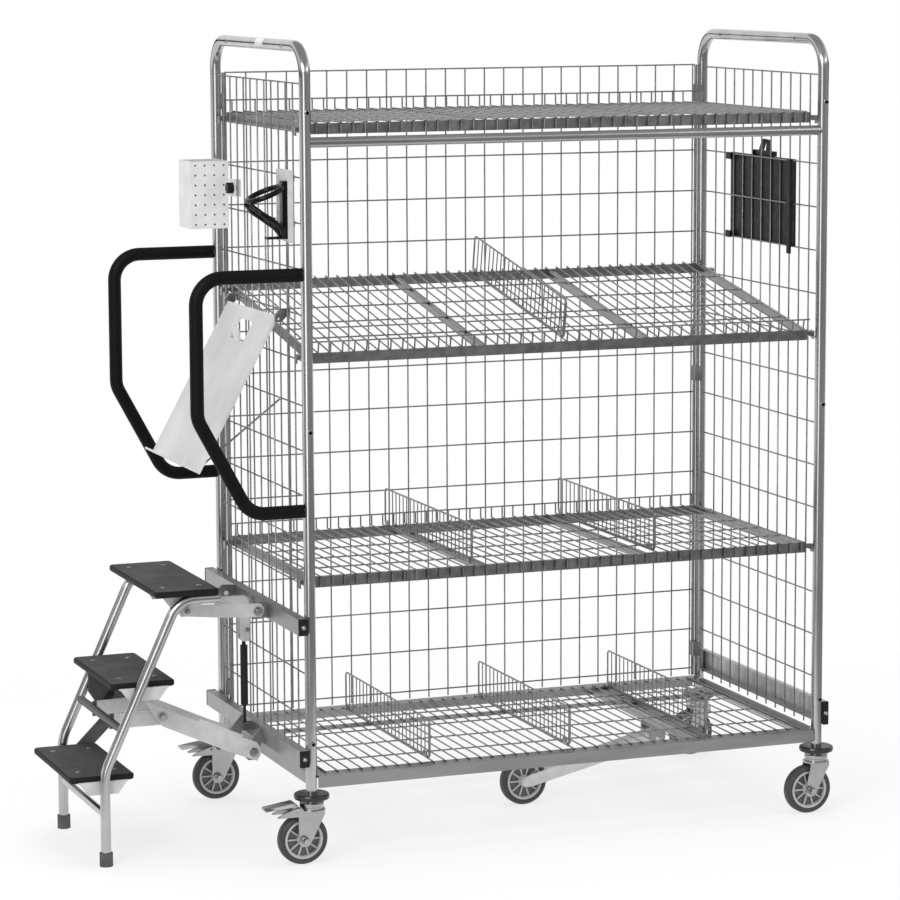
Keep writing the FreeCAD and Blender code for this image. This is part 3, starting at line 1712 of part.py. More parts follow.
# Fifth wheel in the middle, on a long arm that swings under the base
fifth_x = dim.left_x + dim.fifth_x
fifth_items = axle("fifth", fifth_x, 0, dim.arm_sheet)
arm_y = dim.hub_wide / 2 + dim.side_gap + dim.arm_sheet / 2
run = dim.fifth_pivot_run
climb = dim.fifth_pivot_z - hub_z
for side in (-1, 1):
    plate = new_body("fifth_plate", (fifth_x, arm_y * side, hub_z))
    tip = dim.fifth_tip_tall / 2
    root = dim.fifth_arm_tall / 2
    profile = outline(
        new_sketch(plate, "XZ_Plane"),
        [
            (-tip, -tip * corner_share),
            (-tip * corner_share, -tip),
            (tip, -tip),
            (run, climb - root),
            (run + root * slant_share, climb - root * nose_share),
            (run + root * slant_share, climb + root * nose_share),
            (run, climb + root),
            (tip, tip * fifth_back_share),
            (-tip * corner_share, tip),
            (-tip, tip * corner_share),
        ],
    )
    pad(plate, profile, dim.arm_sheet)
    fifth_items.append(plate)
inside = dim.hub_wide + dim.side_gap * 2
for share in fifth_tie_shares:
    spot = (fifth_x + run * share, -inside / 2, hub_z + climb * share)
    fifth_items.append(rod("fifth_tie", dim.fifth_tie_d, inside, spot, "y"))
cheek_y = arm_y + dim.arm_sheet / 2 + dim.side_gap + dim.cheek_sheet / 2
pin_half = cheek_y + dim.cheek_sheet / 2
pin_spot = (fifth_x + run, -pin_half, dim.fifth_pivot_z)
fifth_items.append(rod("fifth_pin", dim.pivot_d, pin_half * 2, pin_spot, "y"))
keep("fifth_wheel_arm", fuse("fifth_wheel_arm", fifth_items))
wheel("fifth_wheel", (fifth_x, 0, hub_z))
for side in (-1, 1):
    cheek = new_body("fifth_cheek", (fifth_x + run, cheek_y * side, dim.fifth_pivot_z))
    half = dim.cheek_wide / 2
    profile = outline(
        new_sketch(cheek, "XZ_Plane"),
        [
            (-half, beam_low - dim.fifth_pivot_z),
            (-half, 0),
            (-half / 2, -half),
            (half / 2, -half),
            (half, 0),
            (half, beam_low - dim.fifth_pivot_z),
        ],
    )
    pad(cheek, profile, dim.cheek_sheet)
    pocket(cheek, circle(new_sketch(cheek, "XZ_Plane"), (0, 0), ear_hole))
    base_items.append(cheek)
nodes["base_frame"].Links = base_items

# Perforated holder outside the left end, clamped through the mesh by a knob
mesh_face = dim.left_x - cross - dim.mesh_wire / 2 - dim.mesh_clear
holder_x = mesh_face - dim.holder_long
holder_y = dim.front_y + dim.holder_rear - dim.holder_deep
shell = block(
    "holder_shell", (dim.holder_long, dim.holder_deep, dim.holder_tall), (holder_x, holder_y, dim.holder_low)
)
wall = dim.holder_wall
wall_reach = wall + dim.overrun * 2
room = block(
    "holder_room",
    (dim.holder_long - wall * 2, dim.holder_deep - wall * 2, dim.holder_tall),
    (holder_x + wall, holder_y + wall, dim.holder_low + wall),
)
holes = [room]
for column in range(holder_columns):
    for line in range(holder_rows):
        x = holder_x + dim.holder_long / 2 + dim.holder_pitch * (column - (holder_columns - 1) / 2)
        z = dim.holder_low + dim.holder_tall / 2 + dim.holder_pitch * (line - (holder_rows - 1) / 2)
        holes.append(rod("holder_hole", dim.holder_hole_d, wall_reach, (x, holder_y - dim.overrun, z), "y"))
pocketed = cut("holder_box", shell, fuse("holder_holes", holes))
knob_y = dim.mesh_pitch_end * knob_place_share
knob_z = (row_z(cage_rows[0]) + row_z(cage_rows[1])) / 2
flange_start = knob_y - dim.flange_past / 2
flange = block(
    "holder_flange",
    (wall, holder_y + wall - flange_start, dim.flange_past),
    (mesh_face - wall, flange_start, knob_z - dim.flange_past / 2),
)
stud_bore = dim.knob_stud_d + dim.run_fit * 2
stud_x = mesh_face - wall - dim.overrun
stud_hole = rod("holder_stud_hole", stud_bore, wall_reach, (stud_x, knob_y, knob_z), "x")
flanged = cut("holder_flange_cut", fuse("holder_flanged", [pocketed, flange]), stud_hole)
nut_x = dim.left_x + dim.mesh_wire / 2 + dim.mesh_clear
nut_plate = block(
    "holder_nut_plate",
    (dim.nut_thick, dim.flange_past, dim.flange_past),
    (nut_x, knob_y - dim.flange_past / 2, knob_z - dim.flange_past / 2),
)
nut_reach = dim.nut_thick + dim.overrun * 2
nut_hole = rod("holder_nut_hole", stud_bore, nut_reach, (nut_x - dim.overrun, knob_y, knob_z), "x")
keep(
    "perforated_holder",
    group("perforated_holder", [flanged, cut("holder_nut", nut_plate, nut_hole)]),
)
knob_face = mesh_face - wall - dim.swivel_gap
knob_head = rod("knob_head", dim.knob_d, dim.knob_deep, (knob_face - dim.knob_deep, knob_y, knob_z), "x")
grooves = []
for index in range(knob_grooves):
    angle = math.radians(360 / knob_grooves * index)
    spot = (
        knob_face - dim.knob_deep,
        knob_y + dim.knob_d * (groove_place_share * math.cos(angle)),
        knob_z + dim.knob_d * (groove_place_share * math.sin(angle)),
    )
    grooves.append(rod("knob_groove", dim.knob_stud_d, dim.knob_deep, spot, "x"))
knob_grip = cut("knob_grip", knob_head, fuse("knob_grooves", grooves))
stud_reach = nut_x + dim.nut_thick - knob_face
knob_stud = rod("knob_stud", dim.knob_stud_d, stud_reach, (knob_face, knob_y, knob_z), "x")
keep("holder_knob", fuse("holder_knob", [knob_grip, knob_stud]))

# Bottle cage on a folded plate that hooks over two mesh wires
cage_y = dim.front_y + dim.cage_y
plate = new_body("cage_plate", (mesh_face, cage_y, dim.plate_low + dim.plate_tall / 2))
half = dim.plate_wide / 2
fold = dim.plate_fold
thin = dim.plate_sheet
profile = outline(
    new_sketch(plate, "XY_Plane"),
    [
        (0, -half),
        (0, half),
        (-fold, half),
        (-fold, half - thin),
        (-thin, half - thin),
        (-thin, thin - half),
        (-fold, thin - half),
        (-fold, -half),
    ],
)
pad(plate, profile, dim.plate_tall)
plate_items = [plate]
for line in cage_rows:
    hook_y = dim.mesh_pitch_end * cage_hook_share
    hook = new_body("cage_hook", (mesh_face, hook_y, row_z(line)))
    rest = dim.mesh_wire / 2 + dim.wire_gap
    reach = dim.left_x - mesh_face + rest
    profile = outline(
        new_sketch(hook, "XZ_Plane"),
        [
            (-thin, rest),
            (reach, rest),
            (reach, -dim.hook_drop),
            (reach + thin, -dim.hook_drop),
            (reach + thin, rest + thin),
            (-thin, rest + thin),
        ],
    )
    pad(hook, profile, dim.plate_hook_wide)
    plate_items.append(hook)
keep("bottle_cage_bracket", fuse("bottle_cage_bracket", plate_items))
cage_back_x = mesh_face - thin
cage_r = (dim.bottle_d + dim.cage_rod) / 2
cage_x = cage_back_x - dim.cage_back - cage_r + dim.cage_rod / 2
strip = block(
    "cage_strip",
    (dim.cage_back, dim.cage_strip, dim.cage_tall),
    (cage_back_x - dim.cage_back, cage_y - dim.cage_strip / 2, dim.cage_low),
)


ring = doc.addObject("Part::Torus", "cage_ring")
bind(ring, "Radius1", cage_r)
bind(ring, "Radius2", dim.cage_rod / 2)
ring_turn = Rotation(Vector(0, 1, 0), cage_ring_lean).multiply(Rotation(Vector(0, 0, 1), 90))
seat(ring, (cage_x, cage_y, dim.cage_low + dim.cage_tall * cage_ring_share), ring_turn)
struts = []
for side in (-1, 1):
    corners = []
    for angle, share in zip(cage_strut_turns, cage_strut_shares):
        out = cage_r * math.cos(math.radians(angle))
        aside = cage_r * math.sin(math.radians(angle))
        corners.append((cage_x + out, cage_y + aside * side, dim.cage_low + dim.cage_tall * share))
    struts.append(shaped("cage_strut", [swept(bent_path(corners, [dim.cage_rod * 2]), dim.cage_rod)]))
cage_floor = block(
    "cage_floor",
    (dim.cage_floor, dim.cage_strip, dim.cage_floor_thick),
    (cage_back_x - dim.cage_floor, cage_y - dim.cage_strip / 2, dim.cage_low),
)
keep("bottle_cage", fuse("bottle_cage", [strip, cage_floor, ring] + struts))

# Document board: a sheet with a lip, hung on two hooks and propped by a wire stay
hinge_x = dim.left_x - dim.board_top_out
lean = math.degrees(math.atan2(float(dim.board_swing), float(dim.board_fall)))
board = new_body("board_sheet", (hinge_x, 0, dim.board_top_z), Rotation(Vector(0, 1, 0), lean))
half = dim.board_sheet / 2
profile = outline(
    new_sketch(board, "XZ_Plane"),
    [
        (-half, dim.hinge_rod_d),
        (half, dim.hinge_rod_d),
        (half, -dim.board_long),
        (-half - dim.board_lip, -dim.board_long),
        (-half - dim.board_lip, dim.board_sheet - dim.board_long),
        (-half, dim.board_sheet - dim.board_long),
    ],
)
pad(board, profile, dim.board_wide)
slot = dim.board_slot_wide / 2
profile = outline(
    new_sketch(board, "YZ_Plane"),
    [
        (-slot, -dim.board_slot_in),
        (slot, -dim.board_slot_in),
        (slot, -dim.board_slot_in - dim.board_slot_tall),
        (-slot, -dim.board_slot_in - dim.board_slot_tall),
    ],
)
pocket(board, profile)
hinge_reach = dim.board_wide + (dim.side_gap + dim.hinge_hook_wide) * 2
hinge_place = (hinge_x, -hinge_reach / 2, dim.board_top_z)
board_items = [board, rod("board_hinge", dim.hinge_rod_d, hinge_reach, hinge_place, "y")]
slope_turn = Rotation(Vector(0, 1, 0), lean)
stay_low = dim.board_long - dim.board_lip
stay_off = half + dim.stay_d
stay_spot = slope_turn.multVec(Vector(float(stay_off), 0, -float(stay_low)))
stay_x = hinge_x.value + stay_spot.x
stay_z = dim.board_top_z.value + stay_spot.z
for side in (-1, 1):
    y = dim.stay_half * stay_lug_share * side
    lug = new_body("stay_lug", (hinge_x, y, dim.board_top_z), slope_turn)
    wide = dim.stay_lug / 2
    profile = outline(
        new_sketch(lug, "XZ_Plane"),
        [
            (half / 2, -stay_low - wide),
            (stay_off + wide, -stay_low - wide),
            (stay_off + wide, wide - stay_low),
            (half / 2, wide - stay_low),
        ],
    )
    pad(lug, profile, dim.stay_lug_wide)
    pocket(lug, circle(new_sketch(lug, "XZ_Plane"), (stay_off, -stay_low), dim.stay_d + dim.run_fit * 2))
    board_items.append(lug)
hook_low = dim.board_slot_in + dim.board_slot_tall
tongue = new_body("board_hook", (hinge_x, 0, dim.board_top_z), slope_turn)
profile = outline(
    new_sketch(tongue, "XZ_Plane"),
    [
        (half, -hook_low - dim.board_hook_sheet),
        (half, -hook_low + dim.board_hook_sheet),
        (-dim.board_hook_out + dim.board_hook_sheet, -hook_low + dim.board_slot_tall / 2),
        (-dim.board_hook_out, -hook_low + dim.board_slot_tall / 2),
        (-half, -hook_low - dim.board_hook_sheet),
    ],
)
pad(tongue, profile, dim.board_hook_wide)
board_items.append(tongue)
keep("document_board", fuse("document_board", board_items))
stay_row = board_hinge_row + 2
stay_tip_x = float(mesh_face - dim.stay_d / 2)
stay_tip_z = float(row_z(stay_row))
side_y = float(dim.stay_half)
path = bent_path(
    [
        (stay_tip_x, -side_y, stay_tip_z),
        (stay_x, -side_y, stay_z),
        (stay_x, side_y, stay_z),
        (stay_tip_x, side_y, stay_tip_z),
    ],
    [dim.stay_bend],
)
keep("board_stay", shaped("board_stay", [swept(path, dim.stay_d)]))
hinge_hooks = [shaped("left_end_wires", end_mesh(dim.left_x, -1))]
for side in (-1, 1):
    wide = dim.hinge_hook_wide
    y = (dim.board_wide / 2 + dim.side_gap + wide / 2) * side
    hook = new_body("hinge_hook", (dim.left_x, y, row_z(board_hinge_row)))
    rest = dim.mesh_wire / 2 + dim.wire_gap
    thick = dim.hinge_hook_sheet
    drop = dim.board_top_z - row_z(board_hinge_row)
    out = -dim.board_top_out
    profile = outline(
        new_sketch(hook, "XZ_Plane"),
        [
            (rest, -dim.hook_drop),
            (rest + thick, -dim.hook_drop),
            (rest + thick, rest + thick),
            (out * blunt_share, rest + thick),
            (out - thick * 2, drop + thick * 2),
            (out - thick * 2, drop - thick * 2),
            (out + thick * 2, drop - thick * 2),
            (-rest, -dim.hook_drop),
            (-rest, rest),
            (rest, rest),
        ],
    )
    pad(hook, profile, wide)
    pocket(hook, circle(new_sketch(hook, "XZ_Plane"), (out, drop), dim.hinge_rod_d + dim.run_fit * 2))
    hinge_hooks.append(hook)
keep("left_end_mesh", group("left_end_mesh", hinge_hooks))

# Clipboard outside the right end, clamped at its corners, with a sprung jaw on top
board_x = dim.right_x + cross + dim.mesh_wire / 2 + dim.mesh_clear
half = dim.clip_board_wide / 2
clip_items = [
    block(
        "clipboard_sheet",
        (dim.clip_board_sheet, dim.clip_board_wide, dim.clip_board_tall),
        (board_x, -half, dim.clip_board_low),
    )
]
clamp_x = dim.right_x - dim.mesh_wire / 2 - dim.mesh_clear - dim.clamp_deep
clamp_size = (dim.clamp_deep, dim.clamp_wide, dim.clamp_tall)
for z in (dim.clip_board_low, dim.clip_board_low + dim.clip_board_tall - dim.clamp_tall):
    clip_items.append(block("board_clamp", clamp_size, (clamp_x, half - dim.clamp_wide, z)))
strip_tall = dim.clip_board_tall + dim.strip_past
clip_items.append(
    block(
        "board_strip",
        (dim.clamp_deep, dim.strip_wide, strip_tall),
        (clamp_x, -half, dim.clip_board_low - dim.strip_past),
    )
)
board_top = dim.clip_board_low + dim.clip_board_tall
jaw_z = board_top + dim.jaw_above
jaw_out = (dim.jaw_barrel_d + dim.clip_board_sheet) / 2
jaw_x = board_x + jaw_out
knuckle = dim.jaw_wide / 2 + dim.side_gap
for side in (-1, 1):
    start = knuckle if side > 0 else -knuckle - dim.clamp_deep
    post = block(
        "jaw_knuckle",
        (jaw_out + dim.jaw_barrel_d / 2, dim.clamp_deep, dim.jaw_above + dim.jaw_barrel_d / 2),
        (board_x, start, board_top),
    )
    hole = rod("jaw_hole", dim.jaw_pin_d + dim.run_fit * 2, dim.clamp_deep, (jaw_x, start, jaw_z), "y")
    clip_items.append(cut("jaw_post", post, hole))
keep("clipboard", group("clipboard", clip_items))
jaw = new_body("jaw_plate", (jaw_x, 0, jaw_z))
barrel = dim.jaw_barrel_d / 2
off = dim.clip_board_sheet + dim.swivel_gap - jaw_out
profile = outline(
    new_sketch(jaw, "XZ_Plane"),
    [
        (off, -barrel * nose_share),
        (off, barrel - dim.jaw_tall),
        (off + dim.jaw_sheet, barrel - dim.jaw_tall),
        (off + dim.jaw_sheet, -barrel),
        (barrel * blunt_share, -barrel * nose_share),
        (barrel * blunt_share, barrel * nose_share),
        (barrel * corner_share, barrel),
        (-barrel * corner_share, barrel),
        (-barrel * blunt_share, barrel * nose_share),
        (-barrel * blunt_share, -barrel * nose_share),
    ],
)
pad(jaw, profile, dim.jaw_wide)
jaw_items = [jaw]
for side in (-1, 1):
    tine = new_body("jaw_tine", (jaw_x, (dim.jaw_wide - dim.jaw_tine) * tine_place_share / 2 * side, jaw_z))
    lean_out = dim.jaw_flare if side > 0 else dim.jaw_sheet
    profile = outline(
        new_sketch(tine, "XZ_Plane"),
        [
            (-barrel * corner_share, barrel / 2),
            (barrel * corner_share, barrel / 2),
            (lean_out + dim.jaw_sheet, dim.jaw_lever),
            (lean_out - dim.jaw_sheet, dim.jaw_lever),
        ],
    )
    pad(tine, profile, dim.jaw_tine)
    jaw_items.append(tine)
jaw_pin_reach = dim.jaw_wide + (dim.side_gap + dim.clamp_deep) * 2
jaw_pin = rod("jaw_pin", dim.jaw_pin_d, jaw_pin_reach, (jaw_x, -jaw_pin_reach / 2, jaw_z), "y")
keep("clipboard_jaw", fuse("clipboard_jaw", jaw_items + [jaw_pin]))

doc.recompute()

bad = [item.Label for item in doc.Objects if "Invalid" in item.State or "Error" in item.State]
doc.recompute()
bad += [label for label, item in nodes.items() if item.Shape.isNull() or not item.Shape.isValid()]
if bad:
    raise RuntimeError("failed: " + ", ".join(bad))

os.makedirs("parts", exist_ok=True)
for label, item in nodes.items():
    item.Shape.exportStep(f"parts/{label}.step")
print(f"{len(nodes)} nodes")
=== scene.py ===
import math

import bmesh
import bpy
from mathutils import Matrix, Vector


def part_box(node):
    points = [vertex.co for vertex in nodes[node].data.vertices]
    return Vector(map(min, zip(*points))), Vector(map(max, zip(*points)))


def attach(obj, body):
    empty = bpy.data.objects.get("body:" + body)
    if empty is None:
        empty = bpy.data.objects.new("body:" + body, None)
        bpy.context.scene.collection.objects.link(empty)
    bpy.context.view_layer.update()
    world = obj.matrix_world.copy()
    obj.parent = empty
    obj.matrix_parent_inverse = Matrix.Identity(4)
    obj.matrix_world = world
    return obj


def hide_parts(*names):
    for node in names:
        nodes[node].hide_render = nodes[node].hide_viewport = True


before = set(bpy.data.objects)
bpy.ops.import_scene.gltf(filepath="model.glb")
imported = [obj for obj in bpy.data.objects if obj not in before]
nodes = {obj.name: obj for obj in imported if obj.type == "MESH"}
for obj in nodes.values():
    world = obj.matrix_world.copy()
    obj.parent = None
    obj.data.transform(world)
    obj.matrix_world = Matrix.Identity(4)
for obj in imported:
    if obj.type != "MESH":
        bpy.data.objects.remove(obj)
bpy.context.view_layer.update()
scene = bpy.context.scene
scene.view_settings.view_transform = "Standard"
mergeGap = 0.00001  # corners closer than this are one
noiseSpan = (0.3, 0.7)  # a noise texture seldom leaves this span
# How finely the round forms are divided
meshDetail = {"bendSteps": 16, "tubeSides": 32, "washerSides": 24, "domeSides": 20, "domeRings": 12, "boxSteps": 4}
print("frame loaded:", len(nodes), "nodes")


def hexToLinear(code):
    channels = [int(code[i:i + 2], 16) / 255 for i in (1, 3, 5)]
    return [c / 12.92 if c <= 0.04045 else ((c + 0.055) / 1.055) ** 2.4 for c in channels] + [1.0]


def addNode(tree, kind, links=None, **settings):
    # links: socket name or number -> an output socket, or a plain value
    node = tree.nodes.new(kind)
    for name, value in settings.items():
        setattr(node, name, value)
    for name, value in (links or {}).items():
        socket = node.inputs[name]
        if isinstance(value, bpy.types.NodeSocket):
            tree.links.new(value, socket)
        else:
            socket.default_value = value
    return node


def newMaterial(name):
    material = bpy.data.materials.new(name)
    material.use_nodes = True
    tree = material.node_tree
    tree.nodes.clear()
    place = addNode(tree, "ShaderNodeTexCoord").outputs["Object"]
    shader = addNode(tree, "ShaderNodeBsdfPrincipled")
    addNode(tree, "ShaderNodeOutputMaterial", {"Surface": shader.outputs[0]})
    return material, tree, place, shader


def noiseOf(tree, place, grainMm, detail):
    links = {"Vector": place, "Scale": 1000 / grainMm, "Detail": detail}
    return addNode(tree, "ShaderNodeTexNoise", links).outputs["Fac"]


def rampOf(tree, value, dark, light, span=noiseSpan):
    ramp = addNode(tree, "ShaderNodeValToRGB", {"Fac": value})
    for i, colour in enumerate((dark, light)):
        ramp.color_ramp.elements[i].position = span[i]
        ramp.color_ramp.elements[i].color = hexToLinear(colour)
    return ramp.outputs[0]


def mixOf(tree, share, first, second):
    return addNode(tree, "ShaderNodeMix", {0: share, 6: first, 7: second}, data_type="RGBA").outputs[2]


def coverWith(tree, shader, colour, height, bumpMm, strength, edgeMm=0.0):
    # Colour and bump of a surface; edgeMm rounds its edges
    bump = addNode(tree, "ShaderNodeBump", {"Height": height, "Strength": strength, "Distance": bumpMm / 1000})
    if edgeMm:
        rounded = addNode(tree, "ShaderNodeBevel", {"Radius": edgeMm / 1000}, samples=6).outputs[0]
        tree.links.new(rounded, bump.inputs["Normal"])
    tree.links.new(colour, shader.inputs["Base Color"])
    tree.links.new(bump.outputs[0], shader.inputs["Normal"])


def surfaceOf(
    name, dark, light, patchMm, grainMm, rough, bumpMm, metal=0.0, stretch=(1, 1, 1), gloss=0.5, edgeMm=0.0
):
    # Patches vary the colour and the polish; the grain gives the bump
    material, tree, place, shader = newMaterial(name)
    stretched = addNode(tree, "ShaderNodeMapping", {"Vector": place, "Scale": stretch}).outputs[0]
    patch = noiseOf(tree, stretched, patchMm, detail=3.0)
    grain = noiseOf(tree, stretched, grainMm, detail=2.0)
    polish = addNode(
        tree, "ShaderNodeMapRange",
        {"Value": patch, "From Min": noiseSpan[0], "From Max": noiseSpan[1], "To Min": rough[0], "To Max": rough[1]}
    ).outputs[0]
    coverWith(tree, shader, rampOf(tree, patch, dark, light), grain, bumpMm, strength=0.6, edgeMm=edgeMm)
    tree.links.new(polish, shader.inputs["Roughness"])
    shader.inputs["Metallic"].default_value = metal
    shader.inputs["Specular IOR Level"].default_value = gloss
    return material


# Bright zinc plate on drawn tube: streaks run along the posts, the sheen is crisp
zincTube = surfaceOf("bright_zinc_tube", "#aeaeae", "#c4c4c4", 60, 1.6, (0.16, 0.24), 0.006, 1.0, (1, 1, 0.15))
# The same plate on the straight front bar and the handle ends
zincBar = surfaceOf("bright_zinc_bar", "#a6a6a6", "#bcbcbc", 60, 1.6, (0.18, 0.26), 0.006, 1.0, (0.15, 1, 1), edgeMm=5)
# Zinc-plated drawn wire: a little duller and darker than the tube
zincWire = surfaceOf("zinc_plated_wire", "#868686", "#a0a0a0", 25, 0.9, (0.26, 0.36), 0.008, 1.0)
# Zinc-plated sheet: flat, cloudy, fine rolling marks along the length
zincSheet = surfaceOf(
    "zinc_plated_sheet", "#8e8e8e", "#a6a6a6", 45, 1.2, (0.3, 0.42), 0.01, 1.0, (0.2, 1, 1), edgeMm=1.2
)
# Pale galvanised plate of the end rail: thicker zinc, matt and lighter
paleZinc = surfaceOf("pale_galvanised_plate", "#c2c2c2", "#d6d6d6", 40, 1.4, (0.38, 0.5), 0.012, 1.0, (1, 0.2, 1))
# Bright chromated castor steel: pressed and clean, with a soft sheen
brightSteel = surfaceOf("bright_castor_steel", "#a6a6a6", "#b6b6b6", 40, 1.0, (0.22, 0.3), 0.008, 1.0, edgeMm=2.0)
# Chrome-plated ladder tube: cleaner and brighter than the zinc
chromeTube = surfaceOf("chrome_ladder_tube", "#b0b0b0", "#c0c0c0", 80, 2.0, (0.2, 0.28), 0.004, 1.0)
# Light grey powder coat on folded sheet: even, with a fine orange peel
greyCoat = surfaceOf("light_grey_powder_coat", "#c2c2c2", "#d2d2d2", 30, 1.4, (0.34, 0.46), 0.03, edgeMm=1.5)
# Satin black coat on small steel pieces
blackCoat = surfaceOf("satin_black_coat", "#101010", "#1a1a1a", 20, 1.2, (0.34, 0.46), 0.02, gloss=0.35)
# Dark grey coat on the flat spine of the ladder
darkCoat = surfaceOf("dark_grey_coat", "#4a4a4a", "#5a5a5a", 25, 1.4, (0.4, 0.52), 0.03, gloss=0.35)
# Glossy black plastic of the bottle cage
glossPlastic = surfaceOf("glossy_black_plastic", "#080808", "#0f0f0f", 15, 1.0, (0.22, 0.32), 0.01, gloss=0.25)
# Moulded black plastic: fine spark-eroded grain
blackPlastic = surfaceOf("black_moulded_plastic", "#090909", "#101010", 15, 0.9, (0.4, 0.55), 0.03, gloss=0.35)
# Closed-cell foam sleeve: matt, with a soft skin of small pits
blackFoam = surfaceOf("black_foam_sleeve", "#070707", "#0c0c0c", 12, 2.2, (0.5, 0.66), 0.12, gloss=0.14, edgeMm=5)
# Black rubber of the ladder feet
blackRubber = surfaceOf("worn_black_rubber", "#464646", "#5a5a5a", 15, 1.5, (0.5, 0.65), 0.05, gloss=0.35, edgeMm=3)
# Dark grey elastic tyres
greyTyre = surfaceOf("grey_elastic_tyre", "#383838", "#454545", 14, 1.5, (0.45, 0.6), 0.06, gloss=0.35, edgeMm=3)
# Polished dark plastic of the bumper rollers: catches the light on its top
bumperPlastic = surfaceOf("dark_bumper_plastic", "#1d1d1d", "#2a2a2a", 16, 1.0, (0.2, 0.32), 0.02)
# Glossy pale plastic sheet of the document board
paleSheet = surfaceOf("glossy_pale_sheet", "#c6c6c6", "#e0e0e0", 220, 6.0, (0.16, 0.24), 0.008, gloss=0.2)
# Pale film of the bare label plate
labelFilm = surfaceOf("pale_label_film", "#c9ced6", "#d6dae0", 12, 1.5, (0.3, 0.4), 0.01)
# Flat dark discs, painted shade standing in for drilled holes and hollow sockets
holeShade = surfaceOf("painted_hole_shade", "#050505", "#0b0b0b", 8, 1.0, (0.7, 0.85), 0.02, gloss=0.1)


def treadSurface(settings):
    # Grit film on the top face, black moulded edge round it, told apart by the face's slope
    material, tree, place, shader = newMaterial("black_grit_tread")
    grit = noiseOf(tree, place, settings["gritMm"], detail=3.0)
    wear = noiseOf(tree, place, settings["wearMm"], detail=2.0)
    both = addNode(tree, "ShaderNodeMath", {0: grit, 1: wear}, operation="ADD").outputs[0]
    filmLow, filmHigh = settings["filmSpan"]
    film = addNode(tree, "ShaderNodeMapRange", {"Value": both, "From Min": filmLow, "From Max": filmHigh}).outputs[0]
    tone = rampOf(tree, film, settings["filmDark"], settings["filmLight"], (0.0, 1.0))
    normal = addNode(tree, "ShaderNodeNewGeometry").outputs["Normal"]
    slope = addNode(tree, "ShaderNodeSeparateXYZ", {0: normal}).outputs["Z"]
    edgeSlope, topSlope = settings["slopes"]
    top = addNode(
        tree, "ShaderNodeMapRange", {"Value": slope, "From Min": edgeSlope, "From Max": topSlope},
        interpolation_type="SMOOTHSTEP"
    ).outputs[0]
    colour = mixOf(tree, top, hexToLinear(settings["edge"]), tone)
    coverWith(tree, shader, colour, grit, settings["bumpMm"], strength=0.7, edgeMm=settings["edgeMm"])
    shader.inputs["Roughness"].default_value = settings["rough"]
    shader.inputs["Specular IOR Level"].default_value = settings["gloss"]
    return material


gritTread = treadSurface(
    {"gritMm": 2.2, "wearMm": 70, "filmSpan": (0.7, 1.3), "filmDark": "#2c2c2c", "filmLight": "#4a4a4a",
     "slopes": (0.9, 0.98), "edge": "#0c0c0c", "bumpMm": 0.2, "edgeMm": 5, "rough": 0.62, "gloss": 0.3}
)


def rimSurface(name, middleY, settings):
    # Nylon wheel body: the thin web between the spokes gets a darker colour, painted shade in its recess; a fine grain
    # varies the tone
    material, tree, place, shader = newMaterial(name)
    depth = addNode(tree, "ShaderNodeSeparateXYZ", {0: place}).outputs["Y"]
    depth = addNode(tree, "ShaderNodeMath", {0: depth, 1: middleY}, operation="SUBTRACT").outputs[0]
    depth = addNode(tree, "ShaderNodeMath", {0: depth}, operation="ABSOLUTE").outputs[0]
    webFace = settings["webMm"] / 1000
    spokeFace = (settings["webMm"] + settings["fadeMm"]) / 1000
    proud = addNode(
        tree, "ShaderNodeMapRange", {"Value": depth, "From Min": webFace, "From Max": spokeFace},
        interpolation_type="SMOOTHSTEP"
    ).outputs[0]
    grain = noiseOf(tree, place, settings["grainMm"], detail=3.0)
    tone = addNode(
        tree, "ShaderNodeMath", {0: grain, 1: settings["dust"], 2: proud}, operation="MULTIPLY_ADD"
    ).outputs[0]
    colour = rampOf(tree, tone, settings["web"], settings["spokes"], settings["toneSpan"])
    coverWith(tree, shader, colour, grain, settings["bumpMm"], strength=0.5)
    shader.inputs["Roughness"].default_value = settings["rough"]
    return material


# web is painted shade on the recessed web between the spokes
rimSettings = {"webMm": 3.7, "fadeMm": 5.5, "grainMm": 1.6, "dust": 0.25, "web": "#5c5c5c", "spokes": "#b4b4b4",
               "toneSpan": (0.1, 1.0), "bumpMm": 0.03, "rough": 0.4}


def holderSurface(settings):
    # White powder coat outside; the inside is painted dark, painted shade seen through the holes, split at the middle
    # of the wall
    material, tree, place, shader = newMaterial("white_powder_coat")
    low, high = Vector(settings["low"]), Vector(settings["high"])
    centred = addNode(tree, "ShaderNodeVectorMath", {0: place, 1: (low + high) / 2}, operation="SUBTRACT").outputs[0]
    centred = addNode(tree, "ShaderNodeVectorMath", {0: centred, 1: (high - low) / 2}, operation="DIVIDE").outputs[0]
    reach = addNode(tree, "ShaderNodeVectorMath", {0: centred}, operation="ABSOLUTE").outputs[0]
    reach = addNode(tree, "ShaderNodeSeparateXYZ", {0: reach}).outputs
    aside = addNode(tree, "ShaderNodeMath", {0: reach["X"], 1: reach["Y"]}, operation="MAXIMUM").outputs[0]
    reach = addNode(tree, "ShaderNodeMath", {0: aside, 1: reach["Z"]}, operation="MAXIMUM").outputs[0]
    wallLow, wallHigh = settings["wallSpan"]
    outside = addNode(
        tree, "ShaderNodeMapRange", {"Value": reach, "From Min": wallLow, "From Max": wallHigh}
    ).outputs[0]
    peel = noiseOf(tree, place, settings["peelMm"], detail=2.0)
    cloud = noiseOf(tree, place, settings["cloudMm"], detail=2.0)
    shadeGrey = rampOf(tree, cloud, settings["coatDark"], settings["coatLight"])
    colour = mixOf(tree, outside, hexToLinear(settings["inside"]), shadeGrey)
    coverWith(tree, shader, colour, peel, settings["bumpMm"], strength=0.6)
    shader.inputs["Roughness"].default_value = settings["rough"]
    return material


